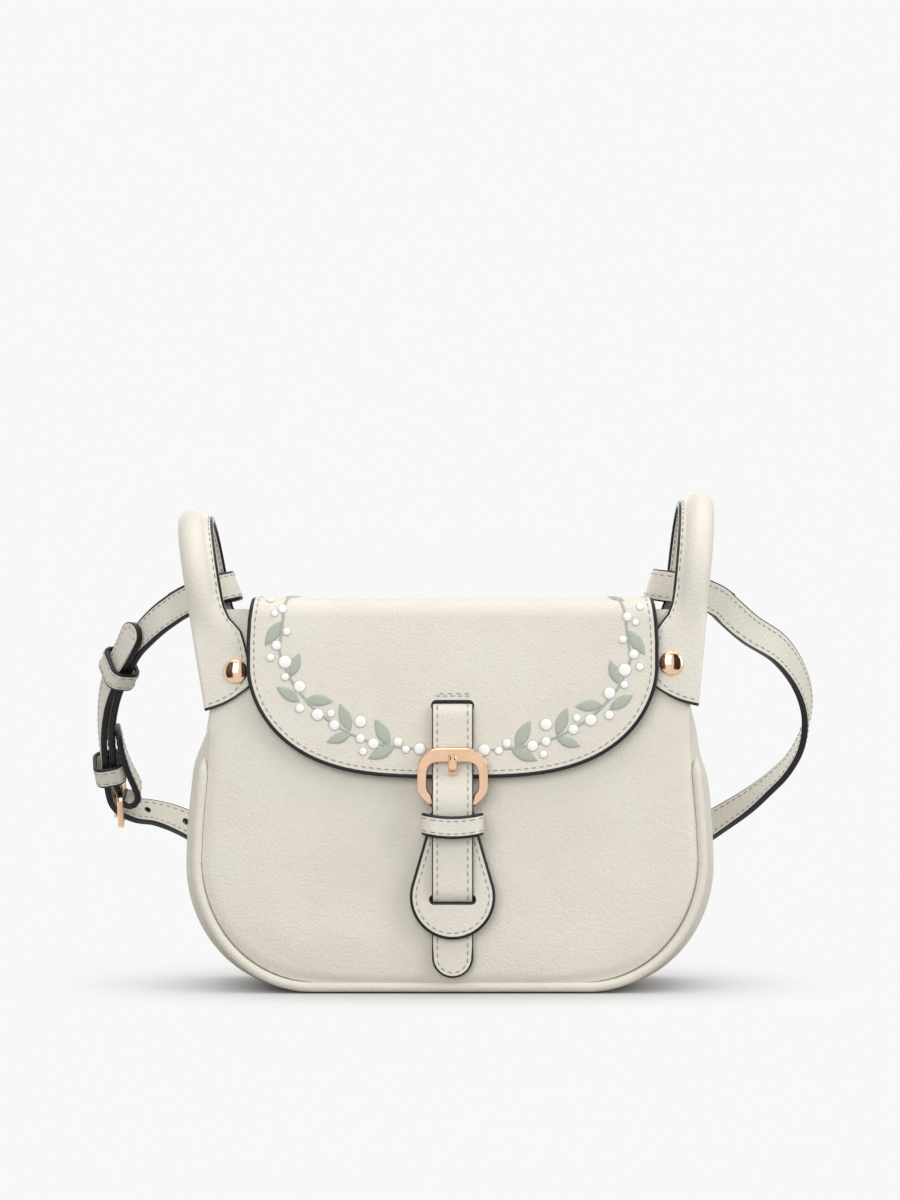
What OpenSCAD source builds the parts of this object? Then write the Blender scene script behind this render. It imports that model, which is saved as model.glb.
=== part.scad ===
/* [Body] */
// Width of the front panel at its widest, seam to seam
panel_w = 193; // [160:1:235]
// Height of the opening above the base
body_h = 149; // [122:1:180]
// Depth of the bag at its base
base_depth = 72; // [60:1:87]
// Depth of the bag at its opening
top_depth = 58; // [48:1:70]
// How far the gusset bulges past each side seam
gusset_bulge = 7.2; // [3:0.1:9]
// Thickness of the body leather
leather_t = 1.8; // [1.2:0.1:2.4]
// Radius of the piping along the seams
pipe_r = 2; // [1.5:0.1:2.4]
// Thickness of the lining cloth
lining_t = 0.6; // [0.4:0.1:1]

/* [Flap] */
// Width of the flap
flap_w = 160; // [133:1:192]
// Height of the flap's lower edge above the base
flap_drop_z = 83; // [70:1:95]
// Thickness of the flap leather
flap_t = 2; // [1.4:0.1:2.6]
// Thickness of the flap's facing
facing_t = 0.8; // [0.5:0.1:1.2]
// Sideways place of the flap's middle
flap_x = 1; // [-2:0.5:2]

/* [Handles] */
// Radius of a padded handle tube
tube_r = 5.6; // [4.6:0.1:6.8]
// Radius of the filler cord in a handle
core_r = 3.8; // [3.1:0.1:4.6]
// Radius of a handle's arch, at the middle of its tube
arch_r = 27.5; // [26:0.5:29]
// Width of the sewn flange beside the tube
flange_w = 2.8; // [2.3:0.1:4]
// Thickness of the sewn flange
flange_t = 3; // [2:0.1:4]
// Height of the left arch's centre
left_arch_z = 155.2; // [148:0.1:190]
// Height of the right arch's centre
right_arch_z = 162.1; // [148:0.1:190]
// Outward lean of the left handle
left_lean = 9.5; // [0:0.5:12]
// Outward lean of the right handle
right_lean = 5.5; // [0:0.5:12]
// Thickness of the riveted tab at a handle's foot
tab_t = 2.1; // [1.6:0.1:2.6]
// Width of a tab on the front of the bag
tab_w = 20; // [17:1:24]
// Height of a tab
tab_h = 39; // [38:0.5:40]
// Radius of a rivet cap
rivet_cap_r = 4.8; // [4:0.1:5.8]
// Radius of a rivet post
rivet_post_r = 1.6; // [1.2:0.1:2]

/* [Closure] */
// Width of the closure strap
closure_w = 16; // [13:0.5:19]
// Thickness of the closure strap
closure_t = 2.2; // [1.8:0.1:2.4]
// Outer width of the closure buckle
buckle_w = 27.3; // [23:0.1:33]
// Radius of the pear tab's round end
pear_r = 16.6; // [14:0.1:20]
// Radius of the closure buckle's bar
bar_r = 1.2; // [1:0.1:1.4]
// Radius of the magnetic snap
snap_r = 8; // [6.5:0.1:9.5]

/* [Shoulder strap] */
// Width of the shoulder strap
strap_w = 12.5; // [10.5:0.5:15]
// Thickness of the shoulder strap
strap_t = 2.8; // [2.2:0.1:3.2]
// Inner length of a loop round a handle, across the bag
loop_len = 24.5; // [22:0.5:28]
// Inner width of a loop round a handle, front to back
loop_gap = 17; // [15:0.5:19]
// Thickness of a strap keeper
keeper_t = 1.5; // [1:0.1:2]
// Radius of the strap buckle's bar
strap_bar_r = 1; // [0.8:0.1:1.2]

/* [Hidden] */
$fn = 48;

cream = [0.87, 0.85, 0.80];
cream_shade = [0.80, 0.77, 0.71];
lining_colour = [0.72, 0.66, 0.58];
gold = [0.90, 0.70, 0.50];
steel = [0.75, 0.75, 0.76];
core_colour = [0.93, 0.92, 0.88];

// Running clearance of a pin in its eye
pin_gap = 0.05;
// Gap between pieces that are sewn or laid together
lay_gap = 0.1;

// Lean of the front and back panels
panel_lean = atan((base_depth - top_depth) / 2 / body_h);
// Height of the panel's lower seam, with the piping under it
seam_z = 2 * pipe_r + 0.2;

// The shapes below are drawn for a panel 193 wide and 149 high
grow_x = panel_w / 193;
grow_z = body_h / 149;

// Half width of the panel, from the waist under the handles to the belly
panel_side = [
    [0, 96.5], [52, 96.5], [67, 95.8], [87, 94], [100, 93.4], [112, 93.2], [149, 97], [200, 101]
];
// Share of the gusset's bulge that shows at each height
bulge_side = [[0, 1], [77, 1], [87, 0.9], [95, 0.65], [103, 0.35], [112, 0], [200, 0]];

function half_depth(z) = base_depth / 2 - z * tan(panel_lean);
function panel_half(z) = lookup(z / grow_z, panel_side) * grow_x;
function body_half(z, bulge) = panel_half(z) + bulge * gusset_bulge * lookup(z / grow_z, bulge_side);

// Width and height of the round lower corners
base_rx = 45;
base_rz = 49;

// Right half of the body's outline at one station, from the opening down to the middle of the base
function outline_half(bulge, inset, top_z) =
    let (
        w = body_half(0, bulge) - inset,
        low = seam_z * (1 - bulge) + inset,
        start = low + base_rz
    )
    concat(
        [for (i = [0:12]) let (z = top_z + (start - top_z) * i / 12) [body_half(z, bulge) - inset, z]],
        [for (a = [9:9:90]) [w - base_rx + base_rx * cos(a), start - base_rz * sin(a)]]
    );
function outline(bulge, inset, top_z) =
    let (half = outline_half(bulge, inset, top_z), n = len(half))
    concat(half, [for (i = [n - 1:-1:0]) [-half[i][0], half[i][1]]]);

function backwards(list) = [for (i = [len(list) - 1:-1:0]) list[i]];

// Closed skin through rings of equally many points. A hooked ring is an outer line and then an inner
// line back, so its ends are closed by strips between the two.
module skin(rings, hooked = false) {
    n = len(rings[0]);
    m = len(rings);
    last = (m - 1) * n;
    points = [for (r = rings) each r];
    sides = [for (j = [0:m - 2]) for (i = [0:n - 1])
        let (a = j * n + i, b = j * n + (i + 1) % n)
        each [[a, b, b + n], [a, b + n, a + n]]
    ];
    strip = [for (i = [0:n / 2 - 2]) each [[i, i + 1, n - 2 - i], [i, n - 2 - i, n - 1 - i]]];
    face = hooked ? strip : [[for (i = [0:n - 1]) i]];
    first_cap = [for (f = face) [for (i = [len(f) - 1:-1:0]) f[i]]];
    last_cap = [for (f = face) [for (i = f) last + i]];
    polyhedron(points, concat(sides, first_cap, last_cap), convexity = 6);
}

// Drawing plane on the front panel: x across, y up the panel, z outward
module on_front() {
    translate([0, -base_depth / 2, 0])
        rotate([90 - panel_lean, 0, 0])
            children();
}
module on_back() {
    mirror([0, 1, 0])
        on_front()
            children();
}

// Profile drawn in a height and offset plane, extruded across the bag
module across(width) {
    rotate([90, 0, 90])
        translate([0, 0, -width / 2])
            linear_extrude(width)
                children();
}

// Outline of a strip of one thickness along a path in a plane
function strip_side(path, off) =
    let (n = len(path))
    [for (i = [0:n - 1])
        let (
            d = path[min(i + 1, n - 1)] - path[max(i - 1, 0)],
            u = d / norm(d)
        )
        path[i] + off * [-u[1], u[0]]
    ];
function strip_outline(path, t) =
    let (a = strip_side(path, t / 2), b = strip_side(path, -t / 2))
    concat(a, backwards(b));

// Rectangle with round corners, exact arcs
module round_rect(w, h, r) {
    square([w, h - 2 * r], center = true);
    square([w - 2 * r, h], center = true);
    for (x = [-1, 1])
        for (y = [-1, 1])
            translate([x * (w / 2 - r), y * (h / 2 - r)])
                circle(r);
}

// Rivet places on the left and right tabs, inward and upward from a tab's outer foot
left_rivet = [14.4, 11];
right_rivet = [12.3, 13.3];
// Where the left and right tabs end, on the outer side of the bag
left_foot_x = panel_half(112) + 2.6;
right_foot_x = panel_half(112) + 3.8;
left_foot_z = 111.5 * grow_z;
right_foot_z = 113.5 * grow_z;

// Body panels
module panel() {
    difference() {
        translate([0, 0, -leather_t])
            linear_extrude(leather_t)
                polygon(outline(0, 0, body_h));
        children();
    }
}
module front_panel() {
    color(cream)
        difference() {
            on_front()
                panel()
                    snap_hole();
            rivet_bores();
        }
}
module back_panel() {
    color(cream)
        difference() {
            on_back()
                panel();
            rivet_bores();
        }
}

// Side and base gusset, one band from the left top to the right top. Each station is a depth behind
// the panel and the share of the bulge that shows there.
gusset_stations = [[0, 0], [2.2, 0], [4.5, 0.4], [8, 0.72], [12, 0.92], [18, 1]];
module gusset() {
    half = [for (s = gusset_stations)
        let (
            outer = outline(s[1], 0, body_h),
            inner = outline(s[1], leather_t, body_h),
            section = concat(outer, backwards(inner))
        )
        [for (p = section) [p[0], half_depth(p[1]) - leather_t - lay_gap - s[0], p[1]]]
    ];
    front = [for (ring = half) [for (p = ring) [p[0], -p[1], p[2]]]];
    color(cream_shade)
        skin(concat(half, backwards(front)), hooked = true);
}

// Piping along the seam, from one pointed end round the base to the other
pipe_top = 91;
module piping(r) {
    half = outline_half(0, -r, pipe_top * grow_z);
    n = len(half);
    line = concat(half, [for (i = [n - 1:-1:0]) [-half[i][0], half[i][1]]]);
    path = [for (p = line) [p[0], -half_depth(p[1]) + pipe_r, p[1] + pipe_r - r]];
    last = len(path) - 1;
    sides = 8;
    rings = [for (i = [0:last])
        let (
            d = path[min(i + 1, last)] - path[max(i - 1, 0)],
            u = d / norm(d),
            v = [0, 1, 0],
            w = cross(u, v),
            s = i == 0 || i == last ? 0.2 : (i == 1 || i == last - 1 ? 0.75 : 1)
        )
        [for (k = [0:sides - 1])
            path[i] + s * r * (cos(k * 360 / sides + 22.5) * v + sin(k * 360 / sides + 22.5) * w)]
    ];
    skin(backwards(rings));
}
module front_piping() {
    color(cream)
        piping(pipe_r);
}
module back_piping() {
    color(cream)
        mirror([0, 1, 0])
            piping(pipe_r);
}

// Level section of the body: half its width at one height, and its rounded outline
function section_half(z, inset) =
    let (
        w = body_half(0, 1) - inset,
        start = base_rz + inset,
        drop = max(start - z, 0) / base_rz
    )
    z < start ? w - base_rx + base_rx * sqrt(max(1 - drop * drop, 0)) : body_half(z, 1) - inset;
function level_ring(z, w, d, r) = [
    for (q = [0:3])
        for (i = [0:4])
            let (
                a = q * 90 + i * 22.5,
                sx = q == 0 || q == 3 ? 1 : -1,
                sy = q < 2 ? 1 : -1
            )
            [sx * (w - r) + r * cos(a), sy * (d - r) + r * sin(a), z]
];

// Inner bag of cloth, held off the leather by the rivet and snap backs
lining_inset = leather_t + 1.7;
lining_corner = 12;
module lining() {
    floor_z = lining_inset;
    levels = [0.4, 2, 4, 8, 16, 28, 46, 77, 87, 95, 103, 112];
    function tuck(h) = lining_corner * (1 - sqrt(1 - pow(1 - min(h, lining_corner) / lining_corner, 2)));
    function ring(z, t) = level_ring(
        z,
        section_half(z, lining_inset + t),
        half_depth(z) - lining_inset - t - tuck(z - floor_z),
        lining_corner
    );
    outer = concat(
        [for (h = levels) ring(floor_z + h * grow_z, 0)],
        [ring(body_h - 1, 0)]
    );
    inner = concat(
        [ring(body_h - 1, lining_t)],
        [for (i = [len(levels) - 1:-1:0]) ring(floor_z + max(levels[i] * grow_z, lining_t), lining_t)]
    );
    color(lining_colour)
        skin(backwards(concat(outer, inner)));
}

// Stiff board between the gusset and the lining, as wide and deep as the base is flat
board_lift = 0.45;
board_t = 1.1;
module base_board() {
    board_w = 2 * (body_half(0, 1) - 48);
    board_d = base_depth - 32;
    color(cream_shade)
        translate([0, 0, leather_t + board_lift])
            linear_extrude(board_t)
                round_rect(board_w, board_d, 6);
}

// Flap: over the top and down the front
flap_gap = 3;
flap_front = flap_gap + facing_t + flap_t;
hinge_y = top_depth / 2 + 0.5;
hinge_z = body_h + 1.2;
flap_low_z = body_h + 1.7;
fold_r = 8;
fold_seg = 6;

// Path of a flap layer in the height and depth plane, at an offset outward from the panel
function flap_path(off) =
    let (
        top = flap_low_z + off - flap_gap,
        a = panel_lean,
        r = fold_r - flap_front + off,
        centre_z = top - r,
        centre_y = -half_depth(centre_z) - off / cos(a) + r * cos(a) + r * sin(a) * tan(a)
    )
    concat(
        [[hinge_y - 1.2, top]],
        [for (i = [0:fold_seg]) let (t = 90 + (90 - a) * i / fold_seg)
            [centre_y + r * cos(t), centre_z + r * sin(t)]],
        [[-half_depth(0) - off / cos(a), 0]]
    );
module flap_layer(off, t) {
    path = flap_path(off);
    rotate([90, 0, 90])
        translate([0, 0, -flap_w])
            linear_extrude(2 * flap_w)
                polygon(strip_outline(path, t));
}

// Front outline of the flap: straight sides into a broad round lower edge
flap_side_z = 126;
flap_taper = 2.8;
function flap_outline() =
    let (
        w = flap_w / 2,
        side_z = flap_side_z * grow_z,
        drop = side_z - flap_drop_z
    )
    concat(
        [[w - flap_taper, body_h + 30], [w - flap_taper, body_h + 1], [w, body_h - 6], [w, side_z + 8]],
        [for (i = [0:24])
            let (t = 90 * i / 24, c = cos(t), s = sin(t))
            [w * pow(c, 0.61), side_z - drop * pow(s, 1.1)]],
        [for (i = [24:-1:0])
            let (t = 90 * i / 24, c = cos(t), s = sin(t))
            [-w * pow(c, 0.61), side_z - drop * pow(s, 1.1)]],
        [[-w, side_z + 8], [-w, body_h - 6], [flap_taper - w, body_h + 1], [flap_taper - w, body_h + 30]]
    );
module flap_cut() {
    translate([flap_x, 0, 0])
        rotate([90, 0, 0])
            translate([0, 0, -base_depth])
                linear_extrude(2 * base_depth)
                    polygon(flap_outline());
}
module closure_slot() {
    translate([flap_x, 0, 0])
        on_front()
            translate([-closure_w / 2 - 0.6, slot_z - 1.6, flap_gap - 1])
                cube([closure_w + 1.2, 3.6, flap_front]);
}
module flap() {
    color(cream)
        difference() {
            intersection() {
                flap_layer(flap_gap + facing_t + flap_t / 2, flap_t);
                flap_cut();
            }
            closure_slot();
        }
}
module flap_facing() {
    color(lining_colour)
        difference() {
            intersection() {
                flap_layer(flap_gap + facing_t / 2, facing_t - 0.02);
                flap_cut();
            }
            closure_slot();
        }
}
// Rear edge of the flap leather, sewn to the back panel
module flap_rear_hem() {
    hem_h = 14;
    hem_w = flap_w - 2 * flap_taper;
    color(cream)
        translate([flap_x, 0, 0])
            on_back()
                translate([-hem_w / 2, body_h - hem_h - 0.8, lay_gap])
                    cube([hem_w, hem_h, flap_t]);
}

// Handles
module handle_place(side) {
    lean = side < 0 ? left_lean : right_lean;
    foot_x = side < 0 ? left_foot_x : right_foot_x;
    foot_z = side < 0 ? left_foot_z : right_foot_z;
    translate([side * foot_x, 0, foot_z])
        rotate([0, side * lean, 0])
            mirror([side < 0 ? 1 : 0, 0, 0])
                children();
}
function arch_up(side) = side < 0
    ? (left_arch_z * grow_z - left_foot_z) / cos(left_lean)
    : (right_arch_z * grow_z - right_foot_z) / cos(right_lean);
// Height in the handle's frame where the legs flatten into the tabs
leg_low = 42.9;

// Half arch with two legs. The first child is the arch's section, drawn beside its axis, and the
// second is the section of the legs, a little slimmer, which run one millimetre up into the arch.
leg_slim = 0.3;
module arch_sweep(up, low) {
    translate([0, 0, up])
        rotate([90, 0, 90])
            rotate_extrude(angle = 180)
                translate([arch_r, 0])
                    children(0);
    for (s = [0, 1])
        mirror([0, s, 0])
            translate([0, arch_r, low])
                rotate([0, 0, 90])
                    linear_extrude(up - low + 1)
                        mirror([0, 1])
                            children(1);
}
module tube_section(outer, inner) {
    translate([0, -tube_r])
        difference() {
            circle(outer);
            circle(inner);
        }
}
module flange_section(slim) {
    translate([slim - flange_t / 2, slim - 2 * tube_r - flange_w])
        square([flange_t - 2 * slim, flange_w + 0.6 - slim]);
}
function tab_outline() = [
    [0, 0], [-0.4 * tab_w, 0.02 * tab_h], [-0.75 * tab_w, 0.09 * tab_h], [-0.97 * tab_w, 0.2 * tab_h],
    [-tab_w, 0.35 * tab_h], [-0.95 * tab_w, 0.55 * tab_h], [-0.86 * tab_w, 0.75 * tab_h],
    [-0.75 * tab_w, 0.92 * tab_h], [-0.73 * tab_w, tab_h], [0, tab_h]
];
tab_y = half_depth(111 * grow_z) + 0.2;
// Drawing plane on the inner face of a tab, at the front and at the back of the bag
module on_tabs() {
    for (s = [0, 1])
        mirror([0, s, 0])
            translate([0, -tab_y, 0])
                rotate([90 - panel_lean, 0, 0])
                    children();
}
// Leather that widens from a tab's upper edge into the padded leg
module leg_root() {
    neck_w = 0.73 * tab_w;
    hull() {
        translate([-tube_r, -arch_r, leg_low])
            cylinder(r = tube_r + 0.1, h = 1, $fn = 32);
        translate([-2 * tube_r - flange_w - 0.1, -arch_r - flange_t / 2 - 0.1, leg_low])
            cube([flange_w, flange_t + 0.2, 1]);
        translate([0, -tab_y, 0])
            rotate([90 - panel_lean, 0, 0])
                translate([0.3 - neck_w, tab_h - 0.7, 0.3])
                    cube([neck_w - 0.6, 0.4, tab_t - 0.6]);
    }
}
module handle_cover(side) {
    up = arch_up(side);
    difference() {
        union() {
            arch_sweep(up, leg_low) {
                tube_section(tube_r, core_r + 0.05);
                tube_section(tube_r - leg_slim, core_r + 0.05 + leg_slim);
            }
            arch_sweep(up, leg_low) {
                flange_section(0);
                flange_section(leg_slim);
            }
            on_tabs()
                linear_extrude(tab_t)
                    polygon(tab_outline());
            leg_root();
            mirror([0, 1, 0])
                leg_root();
            side_wrap();
        }
        rivet_axes(side, rivet_post_r + 0.05, -1, tab_t + 4);
    }
}
// Leather that joins the front and back tabs round the side of the bag
wrap_h = tab_h - 6;
module side_wrap() {
    low_y = tab_y + 0.5;
    high_y = low_y - wrap_h * tan(panel_lean);
    translate([-tab_t, 0, 0])
        rotate([90, 0, 90])
            linear_extrude(tab_t - 0.2)
                polygon([[-low_y, 0.5], [low_y, 0.5], [high_y, wrap_h], [-high_y, wrap_h]]);
}
module handle_core(side) {
    arch_sweep(arch_up(side), leg_low + 1.1) {
        translate([0, -tube_r])
            circle(core_r);
        translate([0, -tube_r])
            circle(core_r - leg_slim);
    }
}
module left_handle_cover() {
    color(cream)
        handle_place(-1)
            handle_cover(-1);
}
module right_handle_cover() {
    color(cream)
        handle_place(1)
            handle_cover(1);
}
module left_handle_core() {
    color(core_colour)
        handle_place(-1)
            handle_core(-1);
}
module right_handle_core() {
    color(core_colour)
        handle_place(1)
            handle_core(1);
}

// Rivets: one at the front and one at the back of each handle, drawn from the tab's inner face outward
module on_rivets(side) {
    place = side < 0 ? left_rivet : right_rivet;
    on_tabs()
        translate([-place[0], place[1], 0])
            children();
}
module rivet_axes(side, r, start, length) {
    on_rivets(side)
        translate([0, 0, start])
            cylinder(r = r, h = length);
}
module rivet_bores() {
    for (side = [-1, 1])
        handle_place(side)
            rivet_axes(side, rivet_post_r + 0.05, -6, 12);
}
module rivet_caps() {
    cap_h = 2.2;
    dome_r = 7;
    color(gold)
        for (side = [-1, 1])
            handle_place(side)
                on_rivets(side)
                    translate([0, 0, tab_t])
                        rotate_extrude()
                            intersection() {
                                square([rivet_cap_r, cap_h]);
                                translate([0, cap_h - dome_r])
                                    circle(dome_r, $fn = 96);
                            }
}
// Posts with their heads inside the bag, behind the panels
head_r = 3.2;
head_h = 0.7;
head_back = -leather_t - 0.5;
module rivet_posts() {
    color(steel)
        for (side = [-1, 1])
            handle_place(side) {
                rivet_axes(side, rivet_post_r, head_back, tab_t - head_back);
                rivet_axes(side, head_r, head_back - head_h, head_h + 0.05);
            }
}

// Magnetic snap between the pear tab and the front panel
closure_gap = 4;
snap_z = 50;
snap_half = (closure_gap - 0.2) / 2;
module snap_hole() {
    translate([flap_x, snap_z, -leather_t - 1])
        cylinder(r = 1.65, h = leather_t + 2);
}
module snap_socket() {
    color(gold)
        translate([flap_x, 0, 0])
            on_front()
                translate([0, snap_z, 0]) {
                    difference() {
                        translate([0, 0, lay_gap / 2])
                            cylinder(r = snap_r, h = snap_half - lay_gap);
                        translate([0, 0, 0.9])
                            cylinder(r = 3.2, h = snap_half);
                    }
                    translate([0, 0, -leather_t - 0.8])
                        cylinder(r = 1.6, h = leather_t + 1);
                }
}
module snap_socket_washer() {
    color(steel)
        translate([flap_x, 0, 0])
            on_front()
                translate([0, snap_z, -leather_t - 0.8])
                    difference() {
                        cylinder(r = snap_r - 0.5, h = 0.7);
                        translate([0, 0, -1])
                            cylinder(r = 1.65, h = 3);
                    }
}
module snap_stud() {
    color(gold)
        translate([flap_x, 0, 0])
            on_front()
                translate([0, snap_z, 0]) {
                    translate([0, 0, closure_gap - snap_half + lay_gap])
                        cylinder(r = snap_r, h = snap_half - lay_gap);
                    translate([0, 0, 1.3])
                        cylinder(r = 2.9, h = snap_half);
                }
}

// Closure: strap, pear tab, keeper and buckle, drawn on the front panel's plane
pear_t = 2.2;
slot_z = 112;
bar_z = 74.5;
bar_off = 6.6;
strap_off = flap_front + 0.2 + closure_t / 2;
tab_off = closure_gap + pear_t + 0.15 + closure_t / 2;
over_bar = bar_off + bar_r + 0.1 + 1.6 + 0.15 + closure_t / 2;
behind_off = closure_gap - 0.2 - closure_t / 2;
// Height and offset of the strap's middle, from the flap's slot down to its tip
closure_path = [
    [slot_z - 0.8, strap_off], [100, strap_off], [92, strap_off], [87, strap_off + 0.25],
    [83, strap_off + 1], [79, over_bar - 0.9], [bar_z, over_bar], [70.5, over_bar - 0.3],
    [66, over_bar - 1.4], [61, tab_off + 0.4], [56, tab_off], [45, tab_off], [43, tab_off - 0.15],
    [41.2, tab_off - 0.95], [39, tab_off - 2.45], [37, behind_off + 1], [35.4, behind_off + 0.25],
    [34, behind_off], [6, behind_off]
];
module closure_frame() {
    translate([flap_x, 0, 0])
        on_front()
            children();
}
module closure_strap() {
    color(cream)
        closure_frame()
            difference() {
                intersection() {
                    across(closure_w)
                        polygon(strip_outline(closure_path, closure_t));
                    linear_extrude(20)
                        union() {
                            translate([-closure_w / 2, 6 + closure_w / 2])
                                square([closure_w, 120]);
                            translate([0, 6 + closure_w / 2])
                                circle(closure_w / 2);
                        }
                }
                prong_window();
            }
}
// Hole in the closure strap that the prong comes through
window_z = 82;
window_w = 3.4;
window_h = 7.4;
module prong_window() {
    translate([0, window_z, 0])
        linear_extrude(20)
            round_rect(window_w, window_h, 1.6);
}
// Sewn end of the closure strap: behind the flap, and out through its slot
module closure_strap_root() {
    color(cream)
        closure_frame() {
            translate([-closure_w / 2, slot_z - 0.4, 0.5])
                cube([closure_w, 11, flap_gap - 0.6]);
            translate([-closure_w / 2, slot_z - 0.4, 0.6])
                cube([closure_w, 2.2, flap_front - 0.4]);
        }
}

// Pear outline: a round end under straight sides that close in to the neck
pear_z = 37.5;
neck_half = 7.2;
neck_z = bar_z;
tab_slot_z = 38.9;
tab_slot_h = 9.2;
function pear_outline() =
    let (
        dx = neck_half,
        dz = neck_z - pear_z,
        reach = norm([dx, dz]),
        turn = atan2(dz, dx) - acos(pear_r / reach)
    )
    concat(
        [[neck_half, neck_z]],
        [for (i = [0:28]) let (t = turn + (-180 - 2 * turn) * i / 28)
            [pear_r * cos(t), pear_z + pear_r * sin(t)]],
        [[-neck_half, neck_z]]
    );
module closure_pear_tab() {
    eye_r = bar_r + 0.1 + 1.6;
    color(cream)
        closure_frame()
            difference() {
                union() {
                    translate([0, 0, closure_gap])
                        linear_extrude(pear_t)
                            polygon(pear_outline());
                    translate([-neck_half, bar_z, bar_off])
                        rotate([0, 90, 0])
                            cylinder(r = eye_r, h = 2 * neck_half);
                }
                translate([-neck_half - 1, bar_z, bar_off])
                    rotate([0, 90, 0])
                        cylinder(r = bar_r + 0.1, h = 2 * neck_half + 2);
                translate([-1.9, bar_z - 4.5, 0])
                    cube([3.8, 12, 20]);
                translate([0, tab_slot_z, 0])
                    linear_extrude(20)
                        round_rect(closure_w + 1.6, tab_slot_h, 2.2);
            }
}
keeper_z = 64.5;
keeper_h = 8.6;
module closure_keeper() {
    half_w = 11.6;
    back = closure_gap - 0.3;
    front = over_bar + closure_t / 2 + 0.3;
    mid = (back + front) / 2;
    color(cream)
        closure_frame()
            translate([0, keeper_z + keeper_h / 2, mid])
                rotate([90, 0, 0])
                    linear_extrude(keeper_h)
                        difference() {
                            round_rect(2 * (half_w + keeper_t), front - back + 2 * keeper_t, 3);
                            round_rect(2 * half_w, front - back, 1.6);
                        }
}

// Buckle frame, tipped so that its top passes in front of the strap
top_bar_z = 92.5;
frame_t = 3;
top_bar_off = strap_off + closure_t / 2 + 0.7 + frame_t / 2;
frame_tilt = atan2(top_bar_off - bar_off, top_bar_z - bar_z);
module buckle_place() {
    closure_frame()
        translate([0, bar_z, bar_off])
            rotate([frame_tilt, 0, 0])
                children();
}
function octagon(w, low, high, cut) = [
    [w / 2 - cut, low], [w / 2, low + cut], [w / 2, high - cut], [w / 2 - cut, high],
    [cut - w / 2, high], [-w / 2, high - cut], [-w / 2, low + cut], [cut - w / 2, low]
];
rail_w = 3.4;
module closure_buckle_frame() {
    color(gold)
        buckle_place()
            difference() {
                translate([0, 0, -frame_t / 2])
                    linear_extrude(frame_t)
                        difference() {
                            polygon(octagon(buckle_w, -2.2, 21, 5.5));
                            polygon(octagon(buckle_w - 2 * rail_w, 1.6, 15.8, 2.5));
                            translate([-buckle_w / 2 + rail_w + 1.2, -4])
                                square([buckle_w - 2 * rail_w - 2.4, 8]);
                        }
                bar_line(bar_r, 0);
            }
}
module bar_line(r, shorter) {
    half = buckle_w / 2 - 2.2 - shorter;
    translate([-half, 0, 0])
        rotate([0, 90, 0])
            cylinder(r = r, h = 2 * half);
}
module closure_buckle_bar() {
    color(gold)
        buckle_place()
            bar_line(bar_r, 0);
}
// Prong: an eye on the bar, a run up behind the strap, through its hole and onto the top of the frame
module closure_prong() {
    r = 0.85;
    eye_w = 3;
    knee = [80.5, strap_off + 0.3];
    crook = [86.5, strap_off + 4.5];
    tip = [92.6, strap_off + 5.9];
    color(gold)
        closure_frame()
            difference() {
                union() {
                    translate([-eye_w / 2, bar_z, bar_off])
                        rotate([0, 90, 0])
                            cylinder(r = bar_r + 1, h = eye_w);
                    rod([bar_z + 1.6, bar_off + 0.3], knee, r);
                    rod(knee, crook, r);
                    rod(crook, tip, r);
                }
                translate([-eye_w / 2 - 1, bar_z, bar_off])
                    rotate([0, 90, 0])
                        cylinder(r = bar_r + pin_gap, h = eye_w + 2);
            }
}
// Round rod between two points of the height and offset plane
module rod(a, b, r) {
    hull() {
        translate([0, a[0], a[1]])
            sphere(r, $fn = 20);
        translate([0, b[0], b[1]])
            sphere(r, $fn = 20);
    }
}

// Shoulder strap: routes chosen by hand, in millimetres, from a handle's loop
long_route = [
    [110.4, 26.5, 150.6], [114.5, 27.5, 146], [121.5, 31, 140.5], [134, 39, 132.5], [143, 50, 121],
    [147.5, 61, 108], [146.5, 71, 95], [141.5, 79, 84], [134, 86, 75.5], [125, 92, 67.5],
    [112, 98, 58.5], [95, 103, 47], [75, 106, 34], [55, 108, 22.5], [35, 109, 13.5], [17, 109, 8.5],
    [0, 109, 7], [-17, 109, 8.5], [-35, 108, 13.5], [-55, 107, 23], [-75, 105, 35], [-95, 101, 48],
    [-112, 95, 58.5], [-124, 89.5, 63], [-133, 83.2, 64.6], [-140.2, 77.8, 69.1], [-142.8, 73.5, 78],
    [-143.6, 68, 89], [-143.6, 61.5, 101], [-141.5, 54, 113.5], [-137, 46, 124.5], [-131.5, 39, 134],
    [-127.5, 34.5, 142.5]
];
// Direction of the strap's width at each point of its route
long_width = [
    [0.2, -0.1, 1], [0.25, 0, 1], [0.3, 0.15, 1], [0.4, 0.45, 0.8], [0.35, 0.7, 0.65],
    [0.25, 0.8, 0.5], [0.1, 0.8, 0.5], [0.1, 0.75, 0.55], [0.15, 0.65, 0.65], [0.2, 0.5, 0.8],
    [0.3, 0.3, 0.9], [0.35, 0.15, 0.9], [0.3, 0.05, 1], [0.3, 0, 1], [0.2, 0, 1], [0.1, 0, 1],
    [0, 0, 1], [-0.1, 0, 1], [-0.2, 0, 1], [-0.3, 0, 1], [-0.3, 0.05, 1], [-0.35, 0.15, 0.9],
    [-0.25, 0.4, 0.9], [-0.15, 0.65, 0.7], [-0.05, 0.8, 0.6], [-0.05, 0.87, 0.5], [-0.1, 0.86, 0.5],
    [-0.15, 0.86, 0.5], [-0.2, 0.85, 0.5], [-0.28, 0.8, 0.5], [-0.35, 0.7, 0.55], [-0.4, 0.6, 0.6],
    [-0.45, 0.5, 0.65]
];
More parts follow.
